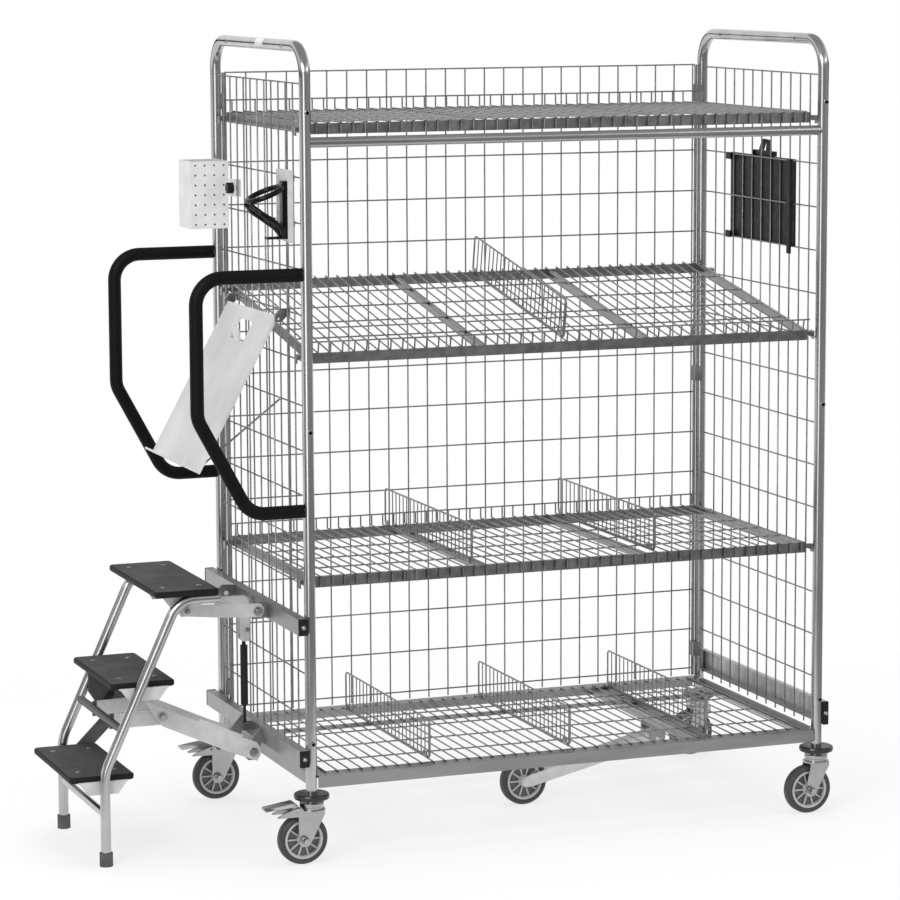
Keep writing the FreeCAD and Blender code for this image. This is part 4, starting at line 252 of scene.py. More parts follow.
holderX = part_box("perforated_holder")[0][0]
# inside is painted shade on the inside of the holder
whiteCoat = holderSurface(
    {"low": (holderX + 0.001, 0.2375, 1.514), "high": (holderX + 0.099, 0.3405, 1.677), "wallSpan": (0.998, 1.002),
     "peelMm": 1.4, "cloudMm": 60, "coatDark": "#d8d8d8", "coatLight": "#e4e4e4", "inside": "#2c2c2c", "bumpMm": 0.03,
     "rough": 0.44}
)


def pedalSurface(settings):
    # Pressed pedal plate: the raised bars are painted bright as painted highlight, the ground between them darker as
    # painted shade
    material, tree, place, shader = newMaterial("ribbed_pedal_plate")
    litBars = addNode(
        tree, "ShaderNodeTexWave",
        {"Vector": place, "Scale": 1000 / settings["barMm"] / settings["waveUnit"], "Distortion": 0.6, "Detail": 1.0},
        wave_type="BANDS", bands_direction="DIAGONAL", wave_profile="SIN"
    ).outputs["Fac"]
    colour = rampOf(tree, litBars, settings["shadedGround"], settings["litBars"], settings["barSpan"])
    coverWith(tree, shader, colour, litBars, settings["bumpMm"], strength=0.8)
    shader.inputs["Roughness"].default_value = settings["rough"]
    shader.inputs["Metallic"].default_value = 1.0
    return material


def bracketSurface(settings):
    # Pale zinc on the pivot plates; the bar between the stringers is painted dark grey, painted shade under the treads
    material, tree, place, shader = newMaterial("zinc_and_dark_brackets")
    spot = addNode(tree, "ShaderNodeSeparateXYZ", {0: place}).outputs
    shadedBar = addNode(tree, "ShaderNodeMath", {0: spot["X"], 1: settings["barEnd"]}, operation="LESS_THAN").outputs[0]
    cloud = noiseOf(tree, place, settings["cloudMm"], detail=3.0)
    zinc = rampOf(tree, cloud, settings["zincDark"], settings["zincLight"])
    colour = mixOf(tree, shadedBar, zinc, hexToLinear(settings["shadeGrey"]))
    coverWith(tree, shader, colour, cloud, settings["bumpMm"], strength=0.4)
    shader.inputs["Roughness"].default_value = settings["rough"]
    return material


# shadeGrey is painted shade on the bar under the treads
bracketFinish = bracketSurface(
    {"barEnd": -0.849, "cloudMm": 8, "zincDark": "#bcbcbc", "zincLight": "#cccccc", "shadeGrey": "#454545", "bumpMm": 0.05,
     "rough": 0.42}
)
# waveUnit brings the scale of the wave texture near to bars of barMm
# litBars and shadedGround are painted highlight and painted shade on one pressed plate
pedalPlate = pedalSurface(
    {"barMm": 9, "waveUnit": 20, "barSpan": (0.25, 0.6), "shadedGround": "#6a6a6a", "litBars": "#c4c4c4", "bumpMm": 0.5,
     "rough": 0.3}
)
print("materials made")

corners = ("front_left", "rear_left", "front_right", "rear_right")
nodeFinish = {
    zincTube: ["left_end_frame", "right_end_frame"],
    zincBar: ["top_front_bar", "handle_tubes"],
    zincWire: ["left_end_mesh", "right_end_mesh", "back_mesh_panel", "base_deck_wires", "shelf_dividers",
               "base_dividers", "board_stay", "top_shelf", "tilted_shelf", "flat_shelf"],
    zincSheet: ["back_panel_clips", "base_frame", "upper_ladder_rail", "lower_ladder_rail"],
    paleZinc: ["right_end_rail"],
    bracketFinish: ["ladder_brackets"],
    brightSteel: ["castor_stems", "post_bolts"] + [f"{c}_fork" for c in corners],
    pedalPlate: ["front_left_brake_pedal", "rear_left_brake_pedal"],
    chromeTube: ["ladder_stringers"],
    greyCoat: ["upper_arms", "lower_arm", "tread_trays", "fifth_wheel_arm", "bottle_cage_bracket"],
    whiteCoat: ["perforated_holder"],
    blackCoat: ["gas_spring_cylinder", "gas_spring_rod", "clipboard_jaw"],
    darkCoat: ["ladder_spine"],
    blackPlastic: ["rail_end_caps", "holder_knob", "clipboard", "ladder_release"],
    glossPlastic: ["bottle_cage"],
    bumperPlastic: ["castor_bumpers"],
    blackFoam: ["handle_grips"],
    blackRubber: ["ladder_feet"],
    gritTread: ["ladder_treads"],
    greyTyre: [f"{c}_tyre" for c in corners] + ["fifth_wheel_tyre"],
    paleSheet: ["document_board"],
}
for wheel in corners + ("fifth_wheel",):
    low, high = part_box(f"{wheel}_rim")
    nodeFinish[rimSurface(f"grey_nylon_{wheel}", (low[1] + high[1]) / 2, rimSettings)] = [f"{wheel}_rim"]
for finish, names in nodeFinish.items():
    for name in names:
        nodes[name].data.materials.clear()
        nodes[name].data.materials.append(finish)
print("finishes set on", sum(len(names) for names in nodeFinish.values()), "nodes")


def boltTree():
    # Washer and head on every point of the mesh, turned to one axis
    tree = bpy.data.node_groups.new("bolt_heads", "GeometryNodeTree")
    sizes = ("Washer Radius", "Washer Height", "Head Radius", "Head Height")
    tree.interface.new_socket("Points", in_out="INPUT", socket_type="NodeSocketGeometry")
    for name in sizes:
        tree.interface.new_socket(name, in_out="INPUT", socket_type="NodeSocketFloat")
    tree.interface.new_socket("Head Sides", in_out="INPUT", socket_type="NodeSocketInt")
    tree.interface.new_socket("Domed", in_out="INPUT", socket_type="NodeSocketBool")
    tree.interface.new_socket("Axis", in_out="INPUT", socket_type="NodeSocketVector")
    tree.interface.new_socket("Finish", in_out="INPUT", socket_type="NodeSocketMaterial")
    tree.interface.new_socket("Bolts", in_out="OUTPUT", socket_type="NodeSocketGeometry")
    given = addNode(tree, "NodeGroupInput").outputs
    washer = addNode(
        tree, "GeometryNodeMeshCylinder",
        {"Vertices": meshDetail["washerSides"], "Radius": given["Washer Radius"], "Depth": given["Washer Height"]}
    ).outputs["Mesh"]
    head = addNode(
        tree, "GeometryNodeMeshCylinder",
        {"Vertices": given["Head Sides"], "Radius": given["Head Radius"], "Depth": given["Head Height"]}
    ).outputs["Mesh"]
    dome = addNode(
        tree, "GeometryNodeMeshUVSphere",
        {"Segments": meshDetail["domeSides"], "Rings": meshDetail["domeRings"], "Radius": given["Head Radius"]}
    ).outputs["Mesh"]
    head = addNode(
        tree, "GeometryNodeSwitch", {"Switch": given["Domed"], "False": head, "True": dome}, input_type="GEOMETRY"
    ).outputs[0]
    rise = addNode(tree, "ShaderNodeCombineXYZ", {"Z": given["Head Height"]}).outputs[0]
    raised = addNode(tree, "GeometryNodeTransform", {"Geometry": head, "Translation": rise}).outputs[0]
    bolt = addNode(tree, "GeometryNodeJoinGeometry", {0: washer})
    tree.links.new(raised, bolt.inputs[0])
    turn = addNode(tree, "FunctionNodeAlignRotationToVector", {"Vector": given["Axis"]}, axis="Z").outputs[0]
    spots = addNode(tree, "GeometryNodeMeshToPoints", {"Mesh": given["Points"]}).outputs[0]
    placed = addNode(
        tree, "GeometryNodeInstanceOnPoints", {"Points": spots, "Instance": bolt.outputs[0], "Rotation": turn}
    ).outputs[0]
    solid = addNode(tree, "GeometryNodeRealizeInstances", {"Geometry": placed}).outputs[0]
    dressed = addNode(tree, "GeometryNodeSetMaterial", {"Geometry": solid, "Material": given["Finish"]}).outputs[0]
    addNode(tree, "NodeGroupOutput", {"Bolts": dressed})
    return tree


boltNodes = boltTree()


def solidOf(thing, group, settings):
    # Runs a node tree on an object, with the inputs that settings name, and gives back the finished mesh
    modifier = thing.modifiers.new(group.name, "NODES")
    modifier.node_group = group
    for item in group.interface.items_tree:
        if item.in_out == "INPUT" and item.name in settings:
            modifier[item.identifier] = settings[item.name]
    solid = bpy.data.meshes.new_from_object(thing.evaluated_get(bpy.context.evaluated_depsgraph_get()))
    thing.modifiers.remove(modifier)
    return solid


def boltRow(name, body, points, settings):
    mesh = bpy.data.meshes.new(name)
    mesh.from_pydata(points, [], [])
    row = bpy.data.objects.new(name, mesh)
    scene.collection.objects.link(row)
    row.data = solidOf(row, boltNodes, settings)
    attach(row, body)


def tubeTree():
    # Round tube along a path of straight runs, with a bend of its own size at every corner
    tree = bpy.data.node_groups.new("bent_tube", "GeometryNodeTree")
    tree.interface.new_socket("Path", in_out="INPUT", socket_type="NodeSocketGeometry")
    tree.interface.new_socket("Tube Radius", in_out="INPUT", socket_type="NodeSocketFloat")
    tree.interface.new_socket("Finish", in_out="INPUT", socket_type="NodeSocketMaterial")
    tree.interface.new_socket("Tube", in_out="OUTPUT", socket_type="NodeSocketGeometry")
    given = addNode(tree, "NodeGroupInput").outputs
    line = addNode(tree, "GeometryNodeMeshToCurve", {"Mesh": given["Path"]}).outputs[0]
    bend = addNode(tree, "GeometryNodeInputNamedAttribute", {"Name": "bend"}, data_type="FLOAT").outputs["Attribute"]
    smooth = addNode(
        tree, "GeometryNodeFilletCurve", {"Curve": line, "Count": meshDetail["bendSteps"], "Radius": bend}, mode="POLY"
    ).outputs[0]
    ring = addNode(
        tree, "GeometryNodeCurvePrimitiveCircle",
        {"Resolution": meshDetail["tubeSides"], "Radius": given["Tube Radius"]}
    ).outputs["Curve"]
    tube = addNode(
        tree, "GeometryNodeCurveToMesh", {"Curve": smooth, "Profile Curve": ring, "Fill Caps": True}
    ).outputs[0]
    solid = addNode(tree, "GeometryNodeRealizeInstances", {"Geometry": tube}).outputs[0]
    dressed = addNode(tree, "GeometryNodeSetMaterial", {"Geometry": solid, "Material": given["Finish"]}).outputs[0]
    addNode(tree, "NodeGroupOutput", {"Tube": dressed})
    return tree


tubeNodes = tubeTree()


def meshObject(name, work):
    mesh = bpy.data.meshes.new(name)
    work.to_mesh(mesh)
    work.free()
    made = bpy.data.objects.new(name, mesh)
    scene.collection.objects.link(made)
    return made


def softBox(work, size, middle, rounding):
    place = Matrix.Translation(middle) @ Matrix.Diagonal((*size, 1))
    made = bmesh.ops.create_cube(work, size=1, matrix=place)["verts"]
    edges = {edge for vert in made for edge in vert.link_edges}
    bmesh.ops.bevel(
        work, geom=list(edges), offset=rounding, segments=meshDetail["boxSteps"], affect="EDGES", profile=0.5
    )


def bentTube(name, body, paths, settings, boxes=()):
    # paths: lists of (x, y, z, bend radius), closed where the last point is the first
    # boxes: (size, middle, rounding), for straight parts of the same piece
    verts, edges, bends = [], [], []
    for run in paths:
        if run[0] == run[-1]:
            run = run[:-1]
            edges.append((len(verts) + len(run) - 1, len(verts)))
        edges += [(len(verts) + i, len(verts) + i + 1) for i in range(len(run) - 1)]
        verts += [point[:3] for point in run]
        bends += [point[3] for point in run]
    mesh = bpy.data.meshes.new(name)
    mesh.from_pydata(verts, edges, [])
    mesh.attributes.new("bend", "FLOAT", "POINT").data.foreach_set("value", bends)
    tube = bpy.data.objects.new(name, mesh)
    scene.collection.objects.link(tube)
    solid = solidOf(tube, tubeNodes, settings)
    work = bmesh.new()
    work.from_mesh(solid)
    bmesh.ops.remove_doubles(work, verts=work.verts, dist=mergeGap)
    bmesh.ops.recalc_face_normals(work, faces=work.faces)
    for face in work.faces:
        face.smooth = len(face.verts) == 4
    for size, middle, rounding in boxes:
        softBox(work, size, middle, rounding)
    work.to_mesh(solid)
    work.free()
    tube.data = solid
    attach(tube, body)
    return tube


# Smooth bent tubes of the two end frames and of the ladder
leftPosts = -0.42975
rightPosts = 0.94525
frameSettings = {"radius": 0.014, "foot": 0.152, "top": 1.986, "bend": 0.075, "halfWidth": 0.3575}
for side, x in (("left", leftPosts), ("right", rightPosts)):
    reach = frameSettings["halfWidth"]
    hoop = [(x, -reach, frameSettings["foot"], 0.0), (x, -reach, frameSettings["top"], frameSettings["bend"]),
            (x, reach, frameSettings["top"], frameSettings["bend"]), (x, reach, frameSettings["foot"], 0.0)]
    endTube = bentTube(f"{side}_end_tube", "trolley", [hoop],
                       {"Tube Radius": frameSettings["radius"], "Finish": zincTube})
    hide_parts(f"{side}_end_frame")
stringerSettings = {"radius": 0.0125, "apart": 0.2025, "top": 0.645, "shoulder": 0.07, "knee": 0.11,
                    "tipX": leftPosts - 0.18, "shoulderX": leftPosts - 0.287, "footX": leftPosts - 0.478,
                    "kneeZ": 0.23, "footZ": 0.034, "crossRadius": 0.01, "crossZ": 0.128, "crossHalf": 0.19}
stringers = []
for y in (-stringerSettings["apart"], stringerSettings["apart"]):
    stringers.append([(stringerSettings["tipX"], y, stringerSettings["top"], 0.0),
                      (stringerSettings["shoulderX"], y, stringerSettings["top"], stringerSettings["shoulder"]),
                      (stringerSettings["footX"], y, stringerSettings["kneeZ"], stringerSettings["knee"]),
                      (stringerSettings["footX"], y, stringerSettings["footZ"], 0.0)])
ladderTubes = bentTube("ladder_tubes", "ladder", stringers,
                       {"Tube Radius": stringerSettings["radius"], "Finish": chromeTube})
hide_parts("ladder_stringers")
bentTube("ladder_cross_tube", "ladder",
         [[(stringerSettings["footX"], -stringerSettings["crossHalf"], stringerSettings["crossZ"], 0.0),
           (stringerSettings["footX"], stringerSettings["crossHalf"], stringerSettings["crossZ"], 0.0)]],
         {"Tube Radius": stringerSettings["crossRadius"], "Finish": chromeTube})
# The front bar runs into both posts, so that no end shows
barLow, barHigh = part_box("top_front_bar")
barY, barZ = (barLow[1] + barHigh[1]) / 2, (barLow[2] + barHigh[2]) / 2
frontBar = bentTube("welded_front_bar", "trolley",
                    [[(leftPosts, barY, barZ, 0.0), (rightPosts, barY, barZ, 0.0)]],
                    {"Tube Radius": (barHigh[2] - barLow[2]) / 2, "Finish": zincBar})
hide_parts("top_front_bar")
print("bent tubes made")

# Bottle cage of thick moulded ribs: a leaning ring, two struts, a back strip and a small floor
cageSettings = {"rib": 0.0065, "bottle": 0.038, "middle": -0.2395, "low": 1.522, "tall": 0.14, "deep": 0.014,
                "wide": 0.024, "floor": 0.054, "floorThick": 0.0055, "ringShare": 0.78, "ringInset": 0.004,
                "lean": 22, "ringSteps": 40, "strutBend": 0.014, "turns": (158, 120, 80, 40, 14),
                "shares": (0.6, 0.47, 0.33, 0.18, 0.06), "round": 0.0022}
cageY, cageLow = cageSettings["middle"], cageSettings["low"]
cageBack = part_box("bottle_cage")[1][0]
cageReach = cageSettings["bottle"] + cageSettings["rib"]
cageX = cageBack - cageSettings["deep"] + cageSettings["ringInset"] - cageReach
lean = math.radians(cageSettings["lean"])
ringZ = cageLow + cageSettings["tall"] * cageSettings["ringShare"]
ring = []
for step in range(cageSettings["ringSteps"]):
    angle = 2 * math.pi * step / cageSettings["ringSteps"]
    out = cageReach * math.cos(angle)
    ring.append((cageX + out * math.cos(lean), cageY + cageReach * math.sin(angle), ringZ + out * math.sin(lean), 0.0))
cagePaths = [ring + ring[:1]]
for side in (-1, 1):
    strut = []
    for turn, share in zip(cageSettings["turns"], cageSettings["shares"]):
        angle = math.radians(turn)
        strut.append((cageX + cageReach * math.cos(angle), cageY + cageReach * math.sin(angle) * side,
                      cageLow + cageSettings["tall"] * share, cageSettings["strutBend"]))
    cagePaths.append(strut)
cageBoxes = [
    ((cageSettings["deep"], cageSettings["wide"], cageSettings["tall"]),
     (cageBack - cageSettings["deep"] / 2, cageY, cageLow + cageSettings["tall"] / 2), cageSettings["round"]),
    ((cageSettings["floor"], cageSettings["wide"], cageSettings["floorThick"]),
     (cageBack - cageSettings["floor"] / 2, cageY, cageLow + cageSettings["floorThick"] / 2), cageSettings["round"]),
]
cagePiece = bentTube("moulded_bottle_cage", "trolley", cagePaths,
                     {"Tube Radius": cageSettings["rib"], "Finish": glossPlastic}, cageBoxes)
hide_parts("bottle_cage")
print("bottle cage made")


# The wire panels with their top row a little higher, as it stands above the top shelf
def tallPanel(name, node, settings):
    mesh = nodes[node].data.copy()
    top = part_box(node)[1][2]
    work = bmesh.new()
    work.from_mesh(mesh)
    bmesh.ops.remove_doubles(work, verts=work.verts, dist=mergeGap)
    for vert in work.verts:
        if vert.co.z > top - settings["row"]:
            vert.co.z += settings["rise"]
    work.to_mesh(mesh)
    work.free()
    made = bpy.data.objects.new(name, mesh)
    scene.collection.objects.link(made)
    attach(made, "trolley")
    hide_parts(node)


# The end panels stay under the space for a hand at the hoops
panelSettings = {"row": 0.02, "rises": {"left_end_mesh": 0.0045, "right_end_mesh": 0.0045, "back_mesh_panel": 0.01}}
for node, rise in panelSettings["rises"].items():
    tallPanel(f"tall_{node}", node, {**panelSettings, "rise": rise})
print("wire panels raised")

# Countersunk screws of the step boards, four on each: middle, top and half length of each board
treadSettings = {"boards": ((-0.90775, 0.2205, 0.182), (-0.80075, 0.4455, 0.182), (-0.69375, 0.6705, 0.215)),
                 "halfDepth": 0.0815, "insetX": 0.036, "insetY": 0.062}
treadScrews = []
for middle, top, reach in treadSettings["boards"]:
    for side in (-1, 1):
        for end in (-1, 1):
            x = middle + (treadSettings["halfDepth"] - treadSettings["insetX"]) * side
            treadScrews.append((x, (reach - treadSettings["insetY"]) * end, top))
boltRow(
    "tread_screws", "ladder", treadScrews,
    {"Washer Radius": 0.0062, "Washer Height": 0.0012, "Head Radius": 0.0035, "Head Height": 0.001, "Head Sides": 6,
     "Axis": (0, 0, 1), "Finish": brightSteel}
)
print("tread screws:", len(treadScrews))


# Step boards with soft moulded edges
def stepBoards(name, settings):
    boards = bmesh.new()
    for middle, top, reach in settings["boards"]:
        size = (settings["halfDepth"] * 2, reach * 2, settings["thick"])
        place = Matrix.Translation((middle, 0, top - settings["thick"] / 2)) @ Matrix.Diagonal((*size, 1))
        board = bmesh.ops.create_cube(boards, size=1, matrix=place)["verts"]
        upright = {edge for vert in board for edge in vert.link_edges
                   if abs(edge.verts[0].co.z - edge.verts[1].co.z) > settings["thick"] / 2}
        made = bmesh.ops.bevel(
            boards, geom=list(upright), offset=settings["corner"], segments=settings["cornerSteps"],
            affect="EDGES", profile=0.5
        )
        touched = {face for vert in made["verts"] for face in vert.link_faces}
        rim = {edge for face in touched if abs(face.normal.z) > settings["flat"] for edge in face.edges}
        bmesh.ops.bevel(
            boards, geom=list(rim), offset=settings["round"], segments=settings["roundSteps"],
            affect="EDGES", profile=0.5
        )
    bmesh.ops.recalc_face_normals(boards, faces=boards.faces)
    return meshObject(name, boards)


boardPiece = stepBoards(
    "moulded_step_boards",
    {**treadSettings, "thick": 0.016, "corner": 0.012, "cornerSteps": 8, "round": 0.0055, "roundSteps": 5, "flat": 0.9}
)
boardPiece.data.materials.append(gritTread)
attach(boardPiece, "ladder")
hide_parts("ladder_treads")
print("step boards made")

# Hexagon bolts on the pivots of the ladder arms, and smaller ones on the lug of the gas spring
# Pivots are (out from the posts, height)
armSettings = {"upperY": -0.1395, "lowerY": -0.0925, "lugY": -0.0135, "upperRoot": (0.062, 0.592),
               "upperTip": (0.244, 0.604), "lowerPivots": ((0.062, 0.224), (0.297, 0.333)),
               "lugBolts": ((0.042, 0.586), (0.05, 0.521))}
bigBolt = {"Washer Radius": 0.0115, "Washer Height": 0.0016, "Head Radius": 0.0085, "Head Height": 0.005,
           "Head Sides": 6, "Axis": (0, -1, 0), "Finish": brightSteel}
smallBolt = {**bigBolt, "Washer Radius": 0.0075, "Head Radius": 0.0055, "Head Height": 0.0036}
lugBolt = {**smallBolt, "Washer Radius": 0.006, "Head Radius": 0.0045}
for name, body, pivots, y, bolt in (
    ("upper_arm_bolts", "upper_arm", [armSettings["upperRoot"]], armSettings["upperY"], bigBolt),
    ("upper_arm_tip_bolts", "upper_arm", [armSettings["upperTip"]], armSettings["upperY"], smallBolt),
    ("lower_arm_bolts", "lower_arm", armSettings["lowerPivots"], armSettings["lowerY"], bigBolt),
    ("spring_lug_bolts", "upper_arm", armSettings["lugBolts"], armSettings["lugY"], lugBolt),
):
    boltRow(name, body, [(leftPosts - out, y, height) for out, height in pivots], bolt)
print("arm bolts placed")

# Axle nuts on both sides of the corner castors
axleSettings = {"trail": 0.025, "axleZ": 0.0625, "reach": 0.033}
axleNut = {"Washer Radius": 0.0105, "Washer Height": 0.0016, "Head Radius": 0.0088, "Head Height": 0.006,
           "Head Sides": 6, "Finish": brightSteel}
for corner in corners:
    x = leftPosts if "left" in corner else rightPosts
    y = frameSettings["halfWidth"] * (-1 if "front" in corner else 1)
    for side in (-1, 1):
        spot = (x - axleSettings["trail"], y + axleSettings["reach"] * side, axleSettings["axleZ"])
        boltRow(f"{corner}_axle_nut_{'in' if side > 0 else 'out'}", f"{corner}_castor", [spot],
                {**axleNut, "Axis": (0, side, 0)})
print("axle nuts placed")

# Dark hexagon discs on the heads of the post bolts, painted shade for their sockets
socketSettings = {"face": -0.3765, "heights": (0.298, 1.064, 1.83), "posts": (leftPosts, rightPosts)}
boltRow(
    "post_bolt_sockets", "trolley",
    [(x, socketSettings["face"], z) for x in socketSettings["posts"] for z in socketSettings["heights"]],
    {"Washer Radius": 0.0042, "Washer Height": 0.0006, "Head Radius": 0.003, "Head Height": 0.0004, "Head Sides": 6,
     "Axis": (0, -1, 0), "Finish": holeShade}
)


# Moulded caps over the open ends of the three cross rails, held by a domed rivet
def railCaps(name, settings):
    caps = bmesh.new()
    for middle, height, deep, tall, halfLong in settings["rails"]:
        for end in (-1, 1):
            lid = (deep + settings["over"] * 2, settings["thick"], tall + settings["over"] * 2)
            core = (deep - settings["wall"] * 2, settings["plug"], tall - settings["wall"] * 2)
            for size, out in ((lid, settings["thick"] / 2), (core, -settings["plug"] / 2)):
                softBox(caps, size, (middle, (halfLong + out) * end, height), settings["round"])
    bmesh.ops.recalc_face_normals(caps, faces=caps.faces)
    return meshObject(name, caps)


# Each rail: middle, height, depth, face and half its length
capSettings = {"rails": ((leftPosts - 0.026, 0.592, 0.024, 0.04, 0.3825),
                         (leftPosts - 0.026, 0.266, 0.024, 0.04, 0.3825),
                         (0.96625, 0.26, 0.014, 0.06, 0.3655)),
               "over": 0.0008, "thick": 0.006, "wall": 0.0034, "plug": 0.014, "round": 0.0026, "rivet": 0.0052,
               "rivetWasher": 1.15}
capPiece = railCaps("moulded_rail_caps", capSettings)
capPiece.data.materials.append(blackPlastic)
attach(capPiece, "trolley")
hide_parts("rail_end_caps")
for end in (-1, 1):
    boltRow(
        f"rail_cap_rivets_{'rear' if end > 0 else 'front'}", "trolley",
        [(middle, (halfLong + capSettings["thick"]) * end, height)
         for middle, height, deep, tall, halfLong in capSettings["rails"]],
        {"Washer Radius": capSettings["rivet"] * capSettings["rivetWasher"], "Washer Height": 0.0008,
         "Head Radius": capSettings["rivet"], "Head Height": 0.0, "Head Sides": 12, "Domed": True,
         "Axis": (0, end, 0), "Finish": brightSteel}
    )
print("rail caps placed")


# Bare label plate bent round the top of the left hoop, with a screw at each side
def bentPlate(name, settings):
    plate = bmesh.new()
    rows = []
    for radius in (settings["radius"], settings["radius"] + settings["thick"]):
        for end in (-1, 1):
            row = []
            for step in range(settings["steps"] + 1):
                angle = math.radians(settings["from"] + (settings["to"] - settings["from"]) * step / settings["steps"])
                x = settings["axis"][0] + radius * math.cos(angle)
                z = settings["axis"][1] + radius * math.sin(angle)
                row.append(plate.verts.new((x, settings["middle"] + settings["long"] / 2 * end, z)))
            rows.append(row)
    inA, inB, outA, outB = rows
    for one, two in ((inA, inB), (inB, outB), (outB, outA), (outA, inA)):
        for step in range(settings["steps"]):
            plate.faces.new((one[step], one[step + 1], two[step + 1], two[step]))
    for step in (0, settings["steps"]):
        plate.faces.new((inA[step], inB[step], outB[step], outA[step]))
    bmesh.ops.recalc_face_normals(plate, faces=plate.faces)
    return meshObject(name, plate)


labelSettings = {"radius": 0.01405, "thick": 0.0006, "from": 118, "to": 196, "steps": 14,
                 "axis": (leftPosts, frameSettings["top"]), "middle": -0.048, "long": 0.058}
labelPlate = bentPlate("bare_label_plate", labelSettings)
labelPlate.data.materials.append(labelFilm)
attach(labelPlate, "trolley")
hoopSettings = {"screwY": 0.22, "screw": leftPosts - 0.0137, "socket": leftPosts - 0.0157, "hole": rightPosts - 0.0139}
hoopSpots = {part: [(hoopSettings[part], hoopSettings["screwY"] * end, frameSettings["top"]) for end in (1, -1)]
             for part in ("screw", "socket", "hole")}
boltRow(
    "hoop_screws", "trolley", hoopSpots["screw"],
    {"Washer Radius": 0.0048, "Washer Height": 0.0012, "Head Radius": 0.0032, "Head Height": 0.0014, "Head Sides": 16,
     "Axis": (-1, 0, 0), "Finish": brightSteel}
)
# Dark discs on the hoop screws, painted shade for their sockets
boltRow(
    "hoop_screw_sockets", "trolley", hoopSpots["socket"],
    {"Washer Radius": 0.0022, "Washer Height": 0.0006, "Head Radius": 0.0015, "Head Height": 0.0004, "Head Sides": 6,
     "Axis": (-1, 0, 0), "Finish": holeShade}
)
# Dark discs on the right hoop, painted shade for its holes
boltRow(
    "right_hoop_holes", "trolley", hoopSpots["hole"],
    {"Washer Radius": 0.0033, "Washer Height": 0.0004, "Head Radius": 0.0026, "Head Height": 0.0003, "Head Sides": 16,
     "Axis": (-1, 0, 0), "Finish": holeShade}
)
print("label plate placed")

# Camera: the photograph's long lens, above the trolley's middle and tilted down to it
cameraSettings = {"lens": 139.25, "place": (-3.0789, -8.2322, 2.2103), "yaw": 20.95, "pitch": 8.165, "roll": -0.233,
                  "sensor": 36, "farEnd": 200}
cameraData = bpy.data.cameras.new("camera")
cameraData.sensor_width = cameraSettings["sensor"]
cameraData.lens = cameraSettings["lens"]
cameraData.clip_end = cameraSettings["farEnd"]
camera = bpy.data.objects.new("camera", cameraData)
scene.collection.objects.link(camera)
turn = Matrix.Rotation(math.radians(-cameraSettings["yaw"]), 4, "Z")
turn = turn @ Matrix.Rotation(math.radians(90 - cameraSettings["pitch"]), 4, "X")
turn = turn @ Matrix.Rotation(math.radians(cameraSettings["roll"]), 4, "Z")
camera.matrix_world = Matrix.Translation(cameraSettings["place"]) @ turn
scene.camera = camera

# Floor, world and soft lamps
stageSettings = {"floorHalf": 60, "floorColour": "#f4f4f4", "floorRough": 0.9, "floorWhite": 0.74, "fadeFrom": 1.2,
                 "fadeTo": 2.6, "worldLight": 0.5, "cardSteps": 48, "cardRadius": 6.5, "cardInner": 1.7,
                 "cardLift": 0.004, "cardTall": 4.0, "cardLight": 0.3, "curtainLow": 1.75, "curtainTop": 2.7,
                 "curtainLight": 0.04, "ceilingInner": 0.01, "ceilingHigh": 6.0, "ceilingLight": 0.42}
floorMesh = bpy.data.meshes.new("floor")
half = stageSettings["floorHalf"]
floorMesh.from_pydata([(-half, -half, 0), (half, -half, 0), (half, half, 0), (-half, half, 0)], [], [(0, 1, 2, 3)])
floor = bpy.data.objects.new("floor", floorMesh)
scene.collection.objects.link(floor)
floorMaterial, floorTree, floorPlace, floorShader = newMaterial("studio_floor")
floorShader.inputs["Base Color"].default_value = hexToLinear(stageSettings["floorColour"])
floorShader.inputs["Roughness"].default_value = stageSettings["floorRough"]
floorMesh.materials.append(floorMaterial)
distance = addNode(floorTree, "ShaderNodeVectorMath", {0: floorPlace}, operation="LENGTH").outputs["Value"]
fade = addNode(
    floorTree, "ShaderNodeMapRange",
    {"Value": distance, "From Min": stageSettings["fadeFrom"], "From Max": stageSettings["fadeTo"],
     "To Min": stageSettings["floorWhite"], "To Max": 1.0},
    interpolation_type="SMOOTHSTEP"
).outputs[0]
white = addNode(floorTree, "ShaderNodeEmission", {"Color": (1, 1, 1, 1), "Strength": 1.0}).outputs[0]
mixed = addNode(floorTree, "ShaderNodeMixShader", {0: fade, 1: floorShader.outputs[0], 2: white}).outputs[0]
floorOutput = next(node for node in floorTree.nodes if node.type == "OUTPUT_MATERIAL")
floorTree.links.new(mixed, floorOutput.inputs["Surface"])


# Curved studio card, seen only in the metal's reflections; rings are (radius, height), turn is in half circles
def studioCard(name, light, rings, turn):
    cardMaterial = bpy.data.materials.new(name)
    cardMaterial.use_nodes = True
    cardNodes = cardMaterial.node_tree
    cardNodes.nodes.clear()
    glow = addNode(cardNodes, "ShaderNodeEmission", {"Color": (1, 1, 1, 1), "Strength": light}).outputs[0]
    addNode(cardNodes, "ShaderNodeOutputMaterial", {"Surface": glow})
    card = bmesh.new()
    steps = stageSettings["cardSteps"]
    angles = [math.pi * turn * i / steps for i in range(steps + 1)]
    rows = [[card.verts.new((radius * math.cos(a), radius * math.sin(a), z)) for a in angles] for radius, z in rings]
    for low, high in zip(rows, rows[1:]):
        for i in range(steps):
            card.faces.new((low[i], low[i + 1], high[i + 1], high[i]))
    made = meshObject(name, card)
    made.data.materials.append(cardMaterial)
    made.visible_camera = False
    made.visible_diffuse = False
    made.visible_shadow = False
    made.visible_transmission = False


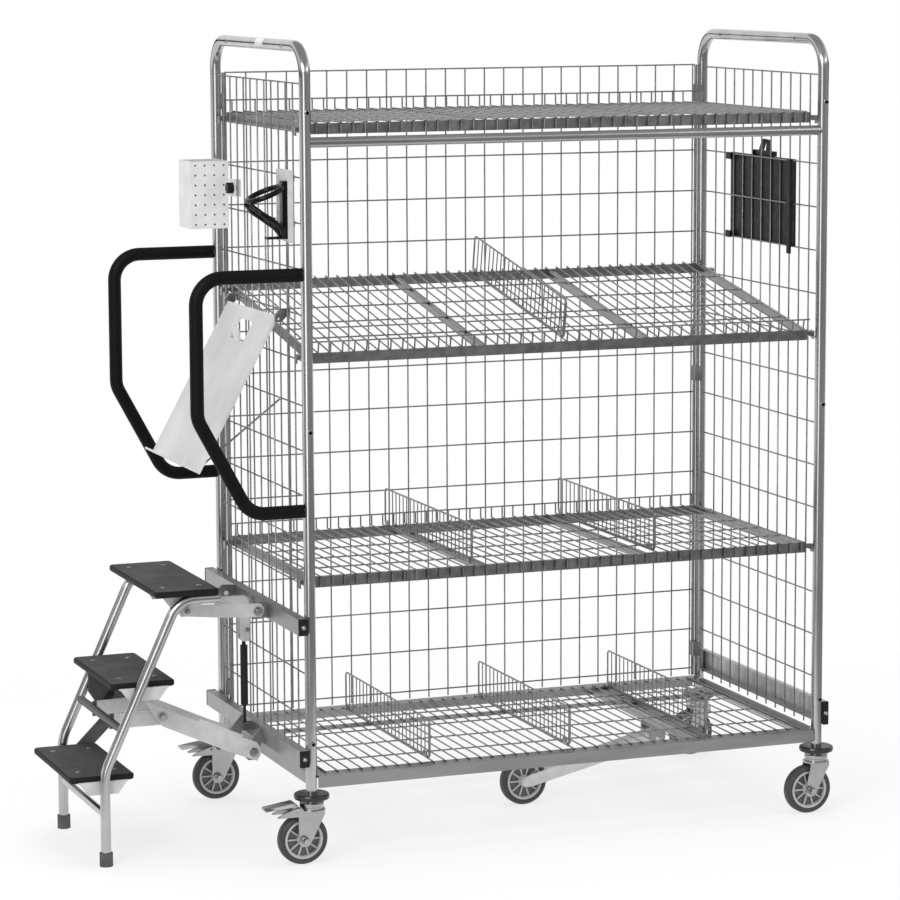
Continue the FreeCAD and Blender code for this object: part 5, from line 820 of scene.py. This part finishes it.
studioCard("grey_front_card", stageSettings["cardLight"],
           ((stageSettings["cardInner"], stageSettings["cardLift"]),
            (stageSettings["cardRadius"], stageSettings["cardLift"]),
            (stageSettings["cardRadius"], stageSettings["cardTall"])), -1)
studioCard("dark_rear_curtain", stageSettings["curtainLight"],
           ((stageSettings["cardRadius"], stageSettings["curtainLow"]),
            (stageSettings["cardRadius"], stageSettings["curtainTop"])), 1)
studioCard("grey_ceiling_card", stageSettings["ceilingLight"],
           ((stageSettings["ceilingInner"], stageSettings["ceilingHigh"]),
            (stageSettings["cardRadius"], stageSettings["ceilingHigh"])), 2)

world = bpy.data.worlds.new("studio")
scene.world = world
world.use_nodes = True
worldTree = world.node_tree
worldTree.nodes.clear()
path = addNode(worldTree, "ShaderNodeLightPath")
seen = path.outputs["Is Camera Ray"]
for ray in ("Is Glossy Ray", "Is Transmission Ray"):
    seen = addNode(worldTree, "ShaderNodeMath", {0: seen, 1: path.outputs[ray]}, operation="MAXIMUM").outputs[0]
dim = addNode(
    worldTree, "ShaderNodeBackground", {"Color": (1, 1, 1, 1), "Strength": stageSettings["worldLight"]}
).outputs[0]
bright = addNode(worldTree, "ShaderNodeBackground", {"Color": (1, 1, 1, 1), "Strength": 1.0}).outputs[0]
both = addNode(worldTree, "ShaderNodeMixShader", {0: seen, 1: dim, 2: bright}).outputs[0]
addNode(worldTree, "ShaderNodeOutputWorld", {"Surface": both})

# The tall strip lamp at the left draws the bright line down the posts; places and sizes in metres, power in watts
lamps = {
    "strip": {"place": (-2.5, -2.9, 1.3), "aim": (0.1, -0.3, 1.0), "wide": 1.4, "tall": 2.5, "power": 22},
    "key": {"place": (-4.5, -4.0, 4.5), "aim": (0, 0, 0.9), "wide": 2.5, "tall": 2.5, "power": 190},
    "fill": {"place": (5.0, -5.0, 3.5), "aim": (0, 0, 0.9), "wide": 3.0, "tall": 3.0, "power": 90},
    "top": {"place": (0.0, 0.5, 5.5), "aim": (0, 0, 0.9), "wide": 4.0, "tall": 4.0, "power": 170},
}
for name, lamp in lamps.items():
    lampData = bpy.data.lights.new(name, "AREA")
    lampData.energy = lamp["power"]
    lampData.shape = "RECTANGLE"
    lampData.size = lamp["wide"]
    lampData.size_y = lamp["tall"]
    lampObject = bpy.data.objects.new(name, lampData)
    scene.collection.objects.link(lampObject)
    lampObject.location = lamp["place"]
    lampObject.visible_glossy = name != "top"  # the ceiling lamp lights the paint and stays out of the metal
    lampObject.visible_diffuse = name != "strip"  # the strip only draws its line in the metal
    lampObject.rotation_euler = (Vector(lamp["aim"]) - Vector(lamp["place"])).to_track_quat("-Z", "Y").to_euler()
print("stage and camera set")
